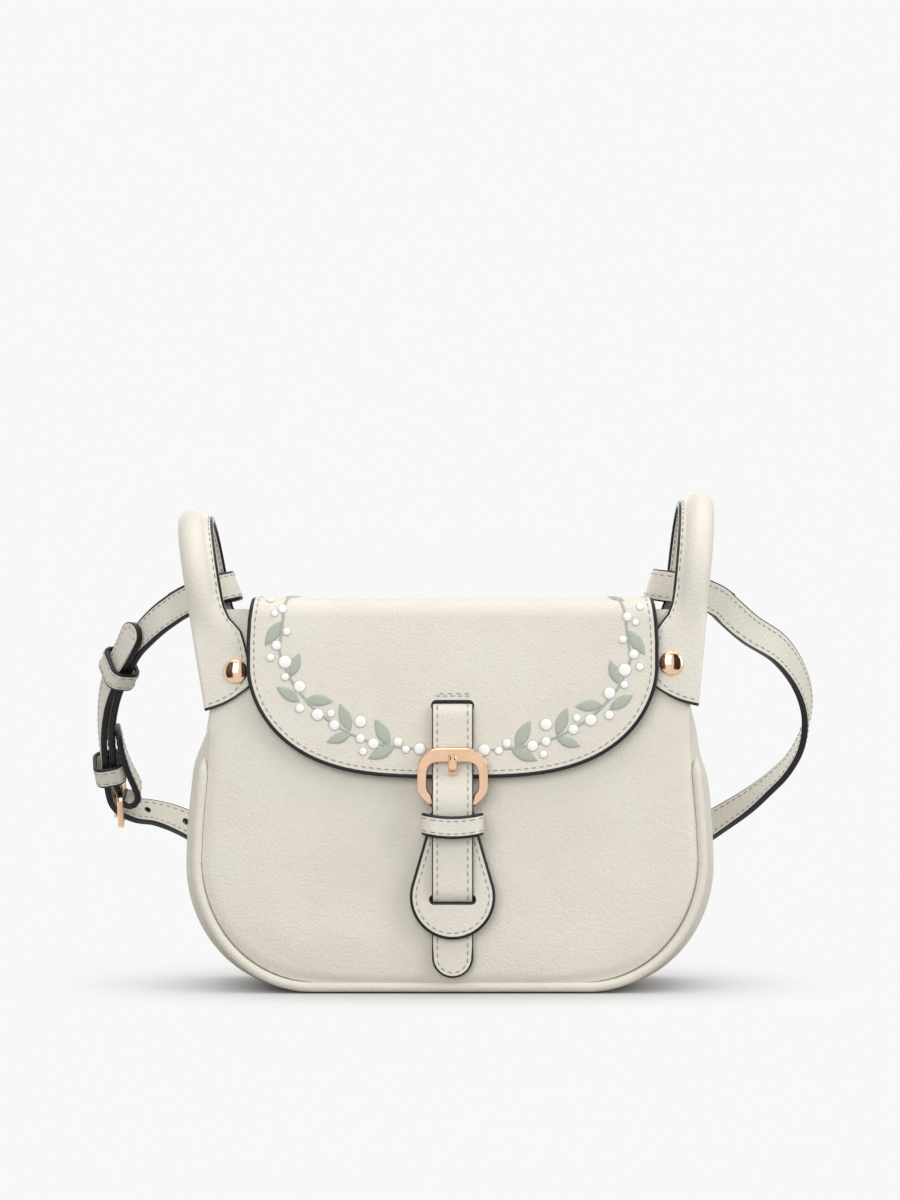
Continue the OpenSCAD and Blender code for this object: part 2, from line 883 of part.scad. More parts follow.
short_route = [
    [-110.2, 27, 151.6], [-113.6, 28.5, 149], [-118, 31.5, 144.5], [-123.5, 36, 139.5],
    [-128.7, 41.1, 133.8], [-134, 47.7, 124.3], [-138.2, 55.2, 113.4], [-140.2, 62.2, 101.1],
    [-140.1, 68.4, 89.3], [-139.3, 73.4, 79], [-137.6, 75.4, 75.4]
];
short_width = [
    [-0.2, 0, 1], [-0.3, 0.15, 0.95], [-0.4, 0.35, 0.85], [-0.43, 0.5, 0.75], [-0.43, 0.64, 0.64],
    [-0.33, 0.68, 0.66], [-0.27, 0.77, 0.58], [-0.2, 0.84, 0.5], [-0.15, 0.88, 0.45],
    [-0.09, 0.88, 0.46], [-0.05, 0.87, 0.5]
];

// The routes follow the bag when its width, height or depth changes
strap_low = strap_w / 2 + 0.5;
function fitted(p) = [
    p[0] * grow_x,
    p[1] + arch_r - 27.5,
    strap_low + (p[2] - 6.8) * grow_z
];
function spline(p, i, t) =
    let (
        n = len(p) - 1,
        a = p[max(i - 1, 0)],
        b = p[i],
        c = p[min(i + 1, n)],
        d = p[min(i + 2, n)]
    )
    0.5 * (2 * b + (c - a) * t + (2 * a - 5 * b + 4 * c - d) * t * t + (3 * b - a - 3 * c + d) * t * t * t);
function smooth(p, steps) = concat(
    [for (i = [0:len(p) - 2]) for (k = [0:steps - 1]) spline(p, i, k / steps)],
    [p[len(p) - 1]]
);
function unit(v) = v / norm(v);

// Flat band of one width and thickness along a route
module band(route, width, w, t) {
    steps = 2;
    line = smooth([for (p = route) fitted(p)], steps);
    wide = smooth(width, steps);
    last = len(line) - 1;
    rings = [for (i = [0:last])
        let (
            u = unit(line[min(i + 1, last)] - line[max(i - 1, 0)]),
            v = unit(wide[i] - (wide[i] * u) * u),
            n = cross(u, v)
        )
        [for (c = [[-1, -1], [1, -1], [1, 1], [-1, 1]]) line[i] + c[0] * v * w / 2 + c[1] * n * t / 2]
    ];
    skin(backwards(rings));
}

// Loop of a strap end round a handle's rear leg
module strap_loop(centre, tilt) {
    translate(fitted(centre))
        rotate([0, tilt, 0])
            translate([0, 0, -strap_w / 2])
                linear_extrude(strap_w)
                    difference() {
                        round_rect(loop_len + 2 * strap_t, loop_gap + 2 * strap_t, 7);
                        round_rect(loop_len, loop_gap, 5);
                    }
}
right_loop = [95.5, 25.6, 156];
left_loop = [-96, 26.3, 155.6];

// Strap buckle frame, in line with the two layers of strap above it
strap_buckle = [-137, 79.5, 68];
strap_rail = 2.3;
strap_frame_l = 15.5;
module strap_buckle_place() {
    translate(fitted(strap_buckle))
        rotate([30, 0, 0])
            children();
}
strap_bar_up = strap_frame_l / 2 - strap_rail / 2;
module strap_bar(r, shorter) {
    half = strap_w / 2 + 0.8 + 1.6 - shorter;
    translate([0, half, strap_bar_up])
        rotate([90, 0, 0])
            cylinder(r = r, h = 2 * half);
}
module strap_buckle_frame() {
    inner_w = strap_w + 1.6;
    color(gold)
        strap_buckle_place()
            difference() {
                rotate([0, 90, 0])
                    translate([0, 0, -1.3])
                        linear_extrude(2.6)
                            difference() {
                                round_rect(strap_frame_l, inner_w + 2 * strap_rail, 2.4);
                                round_rect(strap_frame_l - 2 * strap_rail, inner_w, 1);
                                translate([-strap_frame_l / 2 - 1, -inner_w / 2])
                                    square([strap_frame_l / 2, inner_w]);
                            }
                strap_bar(strap_bar_r, 0);
            }
}
module strap_buckle_bar() {
    color(gold)
        strap_buckle_place()
            strap_bar(strap_bar_r, 0);
}
module strap_prong() {
    r = 0.8;
    eye_w = 2.4;
    color(gold)
        strap_buckle_place()
            difference() {
                union() {
                    translate([0, eye_w / 2, strap_bar_up])
                        rotate([90, 0, 0])
                            cylinder(r = strap_bar_r + 0.9, h = eye_w);
                    hull() {
                        translate([-1, 0, strap_bar_up - 1.2])
                            sphere(r, $fn = 20);
                        translate([-3, 0, -strap_bar_up - 0.4])
                            sphere(r, $fn = 20);
                    }
                }
                translate([0, eye_w, strap_bar_up])
                    rotate([90, 0, 0])
                        cylinder(r = strap_bar_r + pin_gap, h = 2 * eye_w);
            }
}
module strap_prong_window() {
    strap_buckle_place()
        translate([-2, 0, -1])
            rotate([0, 90, 0])
                translate([0, 0, -6])
                    linear_extrude(12)
                        round_rect(9.6, 3.4, 1.6);
}
module shoulder_strap_long() {
    color(cream) {
        difference() {
            band(long_route, long_width, strap_w, strap_t);
            strap_prong_window();
        }
        strap_loop(right_loop, 8);
    }
}
module shoulder_strap_short() {
    chape_r = strap_bar_r + 0.1 + 1.6;
    color(cream) {
        difference() {
            union() {
                band(short_route, short_width, strap_w, strap_t);
                strap_buckle_place()
                    translate([0, strap_w / 2, strap_bar_up])
                        rotate([90, 0, 0])
                            cylinder(r = chape_r, h = strap_w);
            }
            strap_buckle_place() {
                strap_bar(strap_bar_r + 0.1, -2);
                translate([-4, -1.6, strap_bar_up - 5])
                    cube([8, 3.2, 10]);
            }
        }
        strap_loop(left_loop, -10);
    }
}

// Keepers round both layers of strap. A keeper's place is a point of the long strap's route, some way
// on from point k, and a step inward to the middle of the two layers.
layer_step = 3.5;
module keeper_place(k, on) {
    here = fitted(spline(long_route, k, on));
    along = unit(fitted(long_route[k + 1]) - fitted(long_route[k - 1 + round(on)]));
    width = spline(long_width, k, on);
    wide = unit(width - (width * along) * along);
    inner = cross(wide, along);
    at = here + layer_step / 2 * inner;
    multmatrix([for (i = [0:2]) [inner[i], wide[i], along[i], at[i]]])
        children();
}
module strap_keeper(h) {
    inner_w = strap_w + 1.2;
    inner_t = layer_step + strap_t + 1.6;
    translate([0, 0, -h / 2])
        linear_extrude(h)
            difference() {
                round_rect(inner_t + 2 * keeper_t, inner_w + 2 * keeper_t, 3);
                round_rect(inner_t, inner_w, 1.5);
            }
}
module strap_upper_keeper() {
    color(cream)
        keeper_place(30, 0)
            strap_keeper(9);
}
module strap_lower_keeper() {
    color(cream)
        keeper_place(26, 0.4)
            strap_keeper(9);
}

front_panel();
back_panel();
gusset();
front_piping();
back_piping();
lining();
base_board();
flap_rear_hem();
flap();
flap_facing();
closure_strap_root();
left_handle_cover();
left_handle_core();
right_handle_cover();
right_handle_core();
rivet_caps();
rivet_posts();
snap_socket();
snap_socket_washer();
closure_strap();
closure_pear_tab();
closure_keeper();
closure_buckle_frame();
closure_buckle_bar();
snap_stud();
closure_prong();
shoulder_strap_long();
shoulder_strap_short();
strap_lower_keeper();
strap_buckle_frame();
strap_buckle_bar();
strap_upper_keeper();
strap_prong();
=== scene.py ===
# %% [markdown]
# # A small leather flap bag
#
# The CAD frame gives every piece its moving body, and the sizes and places follow the CAD source. Here
# the leather is made again as leather: a soft lofted body, flat pieces with rounded painted edges, sewn
# stitches, padded handles, cast buckles and an embroidered garland. The bag's lengths are written in
# millimetres and scaled once, when a vertex gets its place. The studio's lengths are in metres.

# %% Load the frame
import math
import random
import bpy
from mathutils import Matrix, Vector


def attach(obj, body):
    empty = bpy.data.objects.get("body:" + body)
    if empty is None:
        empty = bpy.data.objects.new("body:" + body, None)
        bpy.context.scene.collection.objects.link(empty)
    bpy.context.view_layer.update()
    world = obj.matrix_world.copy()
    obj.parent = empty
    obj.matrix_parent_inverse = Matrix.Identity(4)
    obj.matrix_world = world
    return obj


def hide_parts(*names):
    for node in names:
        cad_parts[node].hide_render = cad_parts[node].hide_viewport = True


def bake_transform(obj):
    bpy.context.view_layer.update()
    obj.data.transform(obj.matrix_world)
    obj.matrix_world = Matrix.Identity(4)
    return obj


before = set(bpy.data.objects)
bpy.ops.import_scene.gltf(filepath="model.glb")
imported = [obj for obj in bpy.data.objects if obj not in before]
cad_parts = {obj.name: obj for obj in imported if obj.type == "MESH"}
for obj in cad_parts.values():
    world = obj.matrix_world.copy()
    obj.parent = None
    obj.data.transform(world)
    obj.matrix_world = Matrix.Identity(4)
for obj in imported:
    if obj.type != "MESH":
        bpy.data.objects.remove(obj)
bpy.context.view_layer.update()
MM = 0.001
random.seed(7)


# %% [markdown]
# ## Helpers
#
# Operators act on whatever is selected, so everything is deselected before a primitive is added. Two
# kinds of piece cover the bag. A lofted piece starts as a grid, whose vertices are laid on a surface
# given by two shares. A flat piece starts as a filled outline, is given its thickness, rounded edges
# and painted rim while it lies flat, is bisected into narrow rows, and only then is laid along its
# path, just as leather is cut and painted flat and bent afterwards.

# %% Selection and primitives
def deselect():
    if bpy.context.mode != "OBJECT":
        bpy.ops.object.mode_set(mode="OBJECT")
    bpy.ops.object.select_all(action="DESELECT")


def active(obj):
    deselect()
    obj.select_set(True)
    bpy.context.view_layer.objects.active = obj
    return obj


def edit_all(obj):
    active(obj)
    bpy.ops.object.mode_set(mode="EDIT")
    bpy.ops.mesh.select_all(action="SELECT")


def object_mode():
    bpy.ops.object.mode_set(mode="OBJECT")


def lerp(a, b, t):
    return a + (b - a) * t


def smoothstep(t):
    t = min(max(t, 0.0), 1.0)
    return t * t * (3 - 2 * t)


def lookup(x, table):
    if x <= table[0][0]:
        return table[0][1]
    for (x0, y0), (x1, y1) in zip(table, table[1:]):
        if x <= x1:
            return lerp(y0, y1, (x - x0) / (x1 - x0))
    return table[-1][1]


def smooth_lookup(x, table, reach=5.0):
    return sum(lookup(x + reach * k / 2, table) for k in range(-2, 3)) / 5


def modifier(obj, kind, **values):
    active(obj)
    mod = obj.modifiers.new(kind.title(), kind)
    for key, value in values.items():
        setattr(mod, key, value)
    bpy.ops.object.modifier_apply(modifier=mod.name)


def smooth(obj, angle=None):
    active(obj)
    if angle is None:
        bpy.ops.object.shade_smooth()
    else:
        bpy.ops.object.shade_smooth_by_angle(angle=math.radians(angle))


def keep(obj, body, slot_name, *nodes):
    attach(obj, body)
    if nodes and nodes[0]:
        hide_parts(*nodes)
    print(obj.name, len(obj.data.polygons), "faces")
    return obj


# %% Lofted pieces
def loft(name, nu, nv, place, close_u=False, close_v=False, material=None, paint=None):
    """A grid laid on place(u, v) in millimetres, with u and v from 0 to 1. Where paint(u, v) is
    true, the face gets the black edge paint."""
    deselect()
    bpy.ops.mesh.primitive_grid_add(x_subdivisions=nu, y_subdivisions=nv, size=2)
    obj = bpy.context.object
    obj.name = name
    if material:
        obj.data.materials.append(material)
    if paint:
        obj.data.materials.append(EDGE_PAINT)
        for face in obj.data.polygons:
            face.material_index = int(paint((face.center.x + 1) / 2, (face.center.y + 1) / 2))
    for v in obj.data.vertices:
        a = (v.co.x + 1) / 2
        b = (v.co.y + 1) / 2
        if close_u and a > 1 - 1e-6:
            a = 0.0
        if close_v and b > 1 - 1e-6:
            b = 0.0
        v.co = Vector(place(a, b)) * MM
    edit_all(obj)
    bpy.ops.mesh.remove_doubles(threshold=0.00001)
    bpy.ops.mesh.normals_make_consistent(inside=False)
    object_mode()
    return obj


def paint_rim(obj, lowest):
    """Black paint on the upward edge faces of a piece above one height."""
    obj.data.materials.append(EDGE_PAINT)
    for face in obj.data.polygons:
        if face.center.z > lowest * MM and abs(face.normal.z) > 0.6:
            face.material_index = 1


def close_holes(obj):
    edit_all(obj)
    bpy.ops.mesh.select_mode(type="EDGE")
    bpy.ops.mesh.select_all(action="DESELECT")
    bpy.ops.mesh.select_non_manifold(extend=False, use_wire=False, use_boundary=True,
                                     use_multi_face=False, use_non_contiguous=False, use_verts=False)
    bpy.ops.mesh.fill()
    bpy.ops.mesh.select_all(action="SELECT")
    bpy.ops.mesh.normals_make_consistent(inside=False)
    object_mode()


# %% Flat pieces
CUT_REACH = 2


def prism(outline, bottom, height):
    """A filled outline, raised to a height."""
    deselect()
    bpy.ops.mesh.primitive_circle_add(vertices=len(outline), radius=1, fill_type="NGON")
    obj = bpy.context.object
    for v, (a, b) in zip(obj.data.vertices, outline):
        v.co = (a * MM, b * MM, bottom * MM)
    edit_all(obj)
    bpy.ops.mesh.extrude_region_move(TRANSFORM_OT_translate={"value": (0, 0, height * MM)})
    bpy.ops.mesh.select_all(action="SELECT")
    bpy.ops.mesh.normals_make_consistent(inside=False)
    object_mode()
    return obj


def flat_piece(name, outline, thick, edge, rows=(), columns=(), holes=(), border=0.3):
    """A filled outline with thickness, holes and rounded painted edges, still lying flat. The paint
    also runs over the faces for the width of the border."""
    obj = prism(outline, 0, thick)
    obj.name = name
    for hole in holes:
        cutter = prism(hole, -CUT_REACH, thick + 2 * CUT_REACH)
        modifier(obj, "BOOLEAN", operation="DIFFERENCE", object=cutter, solver="EXACT")
        bpy.data.objects.remove(cutter, do_unlink=True)
    modifier(obj, "BEVEL", width=edge * MM, segments=3, limit_method="ANGLE",
             angle_limit=math.radians(60), use_clamp_overlap=True)
    obj.data.materials.clear()
    obj.data.materials.append(LEATHER)
    obj.data.materials.append(EDGE_PAINT)
    edit_all(obj)
    bpy.ops.mesh.select_mode(type="FACE")
    object_mode()
    for face in obj.data.polygons:
        face.select = abs(face.normal.z) > 0.97
        face.material_index = 1
    if border > 0:
        bpy.ops.object.mode_set(mode="EDIT")
        bpy.ops.mesh.inset(thickness=border * MM, depth=0)
        object_mode()
    for face in obj.data.polygons:
        if face.select:
            face.material_index = 0
    edit_all(obj)
    for b in rows:
        bpy.ops.mesh.select_all(action="SELECT")
        bpy.ops.mesh.bisect(plane_co=(0, b * MM, 0), plane_no=(0, 1, 0))
    for a in columns:
        bpy.ops.mesh.select_all(action="SELECT")
        bpy.ops.mesh.bisect(plane_co=(a * MM, 0, 0), plane_no=(1, 0, 0))
    object_mode()
    return obj


def lay(obj, place, angle=40):
    """Moves flat vertices (across, along, up) to their real place in the frame."""
    for v in obj.data.vertices:
        v.co = Vector(place(v.co.x / MM, v.co.y / MM, v.co.z / MM)) * MM
    smooth(obj, angle)
    return obj


def frange(start, stop, step):
    count = max(1, round(abs(stop - start) / step))
    return [lerp(start, stop, i / count) for i in range(count + 1)]


def arc(cx, cy, rx, ry, start, stop, count):
    return [(cx + rx * math.cos(math.radians(lerp(start, stop, i / count))),
             cy + ry * math.sin(math.radians(lerp(start, stop, i / count)))) for i in range(count + 1)]


def round_box(x0, y0, x1, y1, r, count=6):
    return (arc(x1 - r, y1 - r, r, r, 0, 90, count) + arc(x0 + r, y1 - r, r, r, 90, 180, count)
            + arc(x0 + r, y0 + r, r, r, 180, 270, count) + arc(x1 - r, y0 + r, r, r, 270, 360, count))


# %% Walking along a line at even steps, and a line beside it
def walk(points, step, closed=False):
    """Evenly spaced (x, y, direction) along a flat polyline."""
    line = list(points) + ([points[0]] if closed else [])
    lengths = [math.dist(p, q) for p, q in zip(line, line[1:])]
    total = sum(lengths)
    count = max(1, round(total / step))
    out = []
    for i in range(count):
        s = (i + 0.5) * total / count
        k = 0
        while k < len(lengths) - 1 and s > lengths[k]:
            s -= lengths[k]
            k += 1
        p, q = line[k], line[k + 1]
        t = s / max(lengths[k], 1e-9)
        out.append((lerp(p[0], q[0], t), lerp(p[1], q[1], t), math.atan2(q[1] - p[1], q[0] - p[0])))
    return out


def beside(points, off, closed=False):
    """The polyline moved off to its left."""
    n = len(points)
    out = []
    for i, p in enumerate(points):
        a = points[(i - 1) % n] if closed or i > 0 else p
        b = points[(i + 1) % n] if closed or i < n - 1 else p
        dx, dy = b[0] - a[0], b[1] - a[1]
        size = math.hypot(dx, dy) or 1.0
        out.append((p[0] - dy / size * off, p[1] + dx / size * off))
    return out


# %% [markdown]
# ## Materials
#
# The leather is a warm pale cream with a fine pebble grain: one layer of cells for the pebbles, noise
# of four sizes for creases, unevenness and pores, and a slight change of tone. Its edges are closed
# with black paint. Threads are grey-beige. The metal is a pale rose gold. Each finish is made from
# nodes that read Object coordinates in metres, so the scale factors are cells per metre.

# %% Material helpers
def new_material(name, color, rough, metal=0.0, coat=0.0, spec=0.5, sheen=0.0):
    mat = bpy.data.materials.new(name)
    mat.use_nodes = True
    shader = mat.node_tree.nodes["Principled BSDF"]
    shader.inputs["Base Color"].default_value = (*color, 1)
    shader.inputs["Roughness"].default_value = rough
    shader.inputs["Metallic"].default_value = metal
    shader.inputs["Coat Weight"].default_value = coat
    shader.inputs["Coat Roughness"].default_value = 0.25
    shader.inputs["Specular IOR Level"].default_value = spec
    shader.inputs["Sheen Weight"].default_value = sheen
    return mat, shader


def node(mat, kind, **inputs):
    made = mat.node_tree.nodes.new(kind)
    for key, value in inputs.items():
        made.inputs[key.replace("_", " ")].default_value = value
    return made


def link(mat, a, out, b, into):
    mat.node_tree.links.new(a.outputs[out], b.inputs[into])


def tone(mat, shader, source, low, high, dark, light):
    """Colour between dark and light as the source value goes from low to high."""
    ramp = mat.node_tree.nodes.new("ShaderNodeValToRGB")
    ramp.color_ramp.elements[0].position = low
    ramp.color_ramp.elements[0].color = (*dark, 1)
    ramp.color_ramp.elements[1].position = high
    ramp.color_ramp.elements[1].color = (*light, 1)
    link(mat, source[0], source[1], ramp, "Fac")
    link(mat, ramp, "Color", shader, "Base Color")
    return ramp


def bump(mat, shader, layers):
    """Bump layers (node, output, strength, distance) stacked onto one normal."""
    last = None
    for source, out, strength, distance in layers:
        made = node(mat, "ShaderNodeBump", Strength=strength, Distance=distance)
        link(mat, source, out, made, "Height")
        if last:
            link(mat, last, "Normal", made, "Normal")
        last = made
    link(mat, last, "Normal", shader, "Normal")


def coordinates(mat):
    return mat.node_tree.nodes.new("ShaderNodeTexCoord")


# %% Leather
def make_leather(name, dark, light, grain=1.0):
    mat, shader = new_material(name, light, 0.52, spec=0.42)
    place = coordinates(mat)
    cells = node(mat, "ShaderNodeTexVoronoi", Scale=1150.0)
    cells.feature = "SMOOTH_F1"
    cells.inputs["Smoothness"].default_value = 0.7
    stretch = node(mat, "ShaderNodeMapping", Scale=(1.0, 1.0, 0.4))
    creases = node(mat, "ShaderNodeTexNoise", Scale=240.0, Detail=3.0, Distortion=1.1)
    link(mat, place, "Object", stretch, "Vector")
    link(mat, stretch, "Vector", creases, "Vector")
    fine = node(mat, "ShaderNodeTexNoise", Scale=2600.0, Detail=2.0)
    slow = node(mat, "ShaderNodeTexNoise", Scale=26.0, Detail=4.0, Roughness=0.6)
    warp = node(mat, "ShaderNodeTexNoise", Scale=420.0, Detail=2.0)
    for made in (cells, fine, slow, warp):
        link(mat, place, "Object", made, "Vector")
    tone(mat, shader, (slow, "Fac"), 0.3, 0.7, dark, light)
    bump(mat, shader, [(slow, "Fac", 0.25 * grain, 0.0012), (warp, "Fac", 0.3 * grain, 0.0004),
                       (creases, "Fac", 0.22 * grain, 0.0004), (cells, "Distance", 0.45 * grain, -0.00035),
                       (fine, "Fac", 0.2 * grain, 0.0001)])
    rough = node(mat, "ShaderNodeMapRange", To_Min=0.44, To_Max=0.6)
    link(mat, warp, "Fac", rough, "Value")
    link(mat, rough, "Result", shader, "Roughness")
    return mat


LEATHER = make_leather("cream_leather", (0.700, 0.665, 0.585), (0.745, 0.712, 0.635))
# The gusset is the same cream leather made a little darker: painted shade for the sides that turn away from
# the light.
SHADED_GUSSET_LEATHER = make_leather("cream_leather_painted_shade", (0.685, 0.645, 0.560), (0.735, 0.700, 0.620))

# %% Edge paint, thread, cloth and board
EDGE_PAINT, shader = new_material("black_edge_paint", (0.008, 0.008, 0.011), 0.4, coat=0.1, spec=0.3)
place = coordinates(EDGE_PAINT)
ripple = node(EDGE_PAINT, "ShaderNodeTexNoise", Scale=320.0, Detail=3.0)
link(EDGE_PAINT, place, "Object", ripple, "Vector")
tone(EDGE_PAINT, shader, (ripple, "Fac"), 0.3, 0.8, (0.005, 0.005, 0.007), (0.014, 0.014, 0.018))
bump(EDGE_PAINT, shader, [(ripple, "Fac", 0.3, 0.0004)])


def make_thread(name, dark, light):
    mat, shader = new_material(name, light, 0.65, sheen=0.3, spec=0.3)
    place = coordinates(mat)
    twist = node(mat, "ShaderNodeTexNoise", Scale=3200.0, Detail=1.0)
    link(mat, place, "Object", twist, "Vector")
    tone(mat, shader, (twist, "Fac"), 0.35, 0.65, dark, light)
    bump(mat, shader, [(twist, "Fac", 0.5, 0.0001)])
    return mat


THREAD = make_thread("grey_beige_thread", (0.25, 0.23, 0.195), (0.40, 0.375, 0.325))


def make_weave(name, dark, light, scale):
    mat, shader = new_material(name, light, 0.85, sheen=0.2, spec=0.2)
    place = coordinates(mat)
    warp = node(mat, "ShaderNodeTexWave", Scale=scale, Distortion=0.4)
    weft = node(mat, "ShaderNodeTexWave", Scale=scale, Distortion=0.4)
    weft.bands_direction = "Z"
    both = mat.node_tree.nodes.new("ShaderNodeMath")
    both.operation = "MULTIPLY"
    for made in (warp, weft):
        link(mat, place, "Object", made, "Vector")
    link(mat, warp, "Fac", both, 0)
    link(mat, weft, "Fac", both, 1)
    tone(mat, shader, (both, "Value"), 0.0, 0.6, dark, light)
    bump(mat, shader, [(both, "Value", 0.4, 0.0002)])
    return mat


LINING = make_weave("lining_twill", (0.33, 0.28, 0.22), (0.46, 0.40, 0.32), 260.0)
FILLER = make_weave("cotton_filler", (0.62, 0.59, 0.52), (0.78, 0.75, 0.68), 180.0)
BOARD = make_weave("pressed_board", (0.40, 0.35, 0.28), (0.50, 0.45, 0.37), 90.0)


# %% Metal
def make_metal(name, dark, light, rough):
    mat, shader = new_material(name, light, rough, metal=1.0)
    place = coordinates(mat)
    haze = node(mat, "ShaderNodeTexNoise", Scale=240.0, Detail=4.0)
    link(mat, place, "Object", haze, "Vector")
    tone(mat, shader, (haze, "Fac"), 0.3, 0.7, dark, light)
    spread = node(mat, "ShaderNodeMapRange", To_Min=rough * 0.8, To_Max=rough * 1.4)
    link(mat, haze, "Fac", spread, "Value")
    link(mat, spread, "Result", shader, "Roughness")
    bump(mat, shader, [(haze, "Fac", 0.04, 0.0004)])
    return mat


GOLD = make_metal("rose_gold", (0.84, 0.55, 0.36), (0.90, 0.62, 0.43), 0.11)
STEEL = make_metal("plain_steel", (0.52, 0.52, 0.53), (0.62, 0.62, 0.63), 0.3)
print("materials", len(bpy.data.materials))

# %% Finishes for the CAD nodes that stay
CAD_FINISH = {
    GOLD: ["snap_socket", "snap_stud"],
    STEEL: ["rivet_posts", "snap_socket_washer"],
    BOARD: ["base_board"],
    FILLER: ["left_handle_core", "right_handle_core"],
}
for finish, names in CAD_FINISH.items():
    for name in names:
        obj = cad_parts[name]
        obj.data.materials.clear()
        obj.data.materials.append(finish)


# %% [markdown]
# ## Stitches and satin thread
#
# One stitch is modelled once, as a small rounded grain of thread, and its vertices are repeated at
# even steps beside an edge. The positions are laid on the leather by the same function that lays the
# leather itself, so stitches bend with the strap that they are in.

# %% One stitch
def one_stitch(length, width, height):
    deselect()
    bpy.ops.mesh.primitive_uv_sphere_add(segments=8, ring_count=5, radius=1)
    obj = bpy.context.object
    edit_all(obj)
    bpy.ops.transform.rotate(value=math.radians(90), orient_axis="Y", center_override=(0, 0, 0))
    bpy.ops.transform.resize(value=(length / 2 * MM, width / 2 * MM, height * MM))
    object_mode()
    points = [v.co / MM for v in obj.data.vertices]
    faces = [tuple(f.vertices) for f in obj.data.polygons]
    bpy.data.objects.remove(obj, do_unlink=True)
    return points, faces


STITCH = one_stitch(2.1, 0.5, 0.24)
STITCH_STEP = 3.0


def grain_mesh(name, verts, faces, material):
    """One piece from vertices in millimetres, with its normals turned outward."""
    mesh = bpy.data.meshes.new(name)
    mesh.from_pydata([Vector(v) * MM for v in verts], [], faces)
    obj = bpy.data.objects.new(name, mesh)
    bpy.context.collection.objects.link(obj)
    obj.data.materials.append(material)
    edit_all(obj)
    bpy.ops.mesh.normals_make_consistent(inside=False)
    object_mode()
    smooth(obj)
    return obj


def repeat(name, grain, spots, place, material, size=1.0):
    """Copies of one grain at (x, y, direction[, size]) spots, laid on a surface."""
    points, faces = grain
    verts = []
    polys = []
    for spot in spots:
        x, y, turn = spot[:3]
        big = size * (spot[3] if len(spot) > 3 else 1.0)
        c, s = math.cos(turn) * big, math.sin(turn) * big
        base = len(verts)
        for p in points:
            verts.append(place(x + p.x * c - p.y * s, y + p.x * s + p.y * c, p.z))
        polys.extend(tuple(base + k for k in f) for f in faces)
    return grain_mesh(name, verts, polys, material)


def sew(name, lines, place, body, slot_name="leather", step=STITCH_STEP):
    """Rows of stitches along flat lines, each (points, closed)."""
    spots = [spot for points, closed in lines for spot in walk(points, step, closed)]
    return keep(repeat(name, STITCH, spots, place, THREAD), body, slot_name)


# %% [markdown]
# ## The body
#
# The body is a front and a back panel, piped to one long gusset. The gusset is a lofted shell that
# sags: at the seams it follows the panels, and between them it swells out, more at the belly than
# under the handles, with soft folds at the waist. The measures are those of the CAD source.

# %% Body measures
BASE_DEPTH = 72.0
BODY_H = 149.0
LEAN = math.atan((BASE_DEPTH - 58.0) / 2 / BODY_H)
SIN_L, COS_L, TAN_L = math.sin(LEAN), math.cos(LEAN), math.tan(LEAN)
BULGE = 7.2
SEAM_Z = 4.2
CORNER_W, CORNER_H = 45.0, 49.0
PANEL_SIDE = [(0, 96.5), (52, 96.5), (67, 95.8), (87, 94), (100, 93.4), (112, 93.2), (149, 97), (200, 101)]
BULGE_SIDE = [(0, 1), (77, 1), (87, 0.9), (95, 0.65), (103, 0.35), (112, 0), (200, 0)]


def half_depth(z):
    return BASE_DEPTH / 2 - z * TAN_L


def body_half(z, bulge):
    return smooth_lookup(z, PANEL_SIDE) + bulge * BULGE * smooth_lookup(z, BULGE_SIDE)


def outline_point(t, bulge, inset, top=BODY_H):
    """Right half of the body's outline: t 0 at the opening, 1 at the middle of the base."""
    low = SEAM_Z * (1 - bulge) + inset
    start = low + CORNER_H
    wide = body_half(0, bulge) - inset
    if t < 0.45:
        z = lerp(top, start, t / 0.45)
        return body_half(z, bulge) - inset, z
    if t < 0.8:
        a = math.radians(90 * (t - 0.45) / 0.35)
        return wide - CORNER_W + CORNER_W * math.cos(a), start - CORNER_H * math.sin(a)
    return lerp(wide - CORNER_W, 0, (t - 0.8) / 0.2), low


def on_front(x, h, off):
    return (x, -BASE_DEPTH / 2 + h * SIN_L - off * COS_L, h * COS_L + off * SIN_L)


def on_back(x, h, off):
    x, y, z = on_front(x, h, off)
    return (x, -y, z)


# %% Gusset
def gusset_place(u, v):
    t = 1 - abs(2 * u - 1)
    side = -1 if u < 0.5 else 1
    deep = 1 - abs(2 * v - 1)
    swell = 1 - (1 - min(deep / 0.55, 1)) ** 2.2
    x, z = outline_point(t, swell, 0)
    folds = math.sin(z * 0.23 + 3.1 * deep + side) * math.exp(-((z - 104) / 20) ** 2)
    x += 0.9 * folds * swell
    if z > 108:
        x -= 1.6 * smoothstep((z - 108) / 30) * swell
    back = 1 if v > 0.5 else -1
    y = back * (half_depth(z) - 1.6) * (1 - deep)
    return (side * x, y, max(z, 0.02))


gusset = loft("gusset_leather", 150, 28, gusset_place, material=SHADED_GUSSET_LEATHER)
modifier(gusset, "SOLIDIFY", thickness=1.8 * MM, offset=-1.0)
paint_rim(gusset, BODY_H - 1)
smooth(gusset, 60)
keep(gusset, "bag", "gusset_leather", "gusset")


# %% [markdown]
# The panels are stuffed a little by what they are lined with, so each has a low crown that falls off
# into the seam, where the leather turns back beside the piping. A panel is lofted in level rows, each
# from seam to seam, that close up towards the base.

# %% Panels in level rows
def row_half(h):
    """Half the panel's width at one height above its lower seam."""
    start = SEAM_Z + CORNER_H
    if h >= start:
        return body_half(h, 0)
    drop = (start - h) / CORNER_H
    return body_half(0, 0) - CORNER_W + CORNER_W * math.sqrt(max(1 - drop * drop, 0))


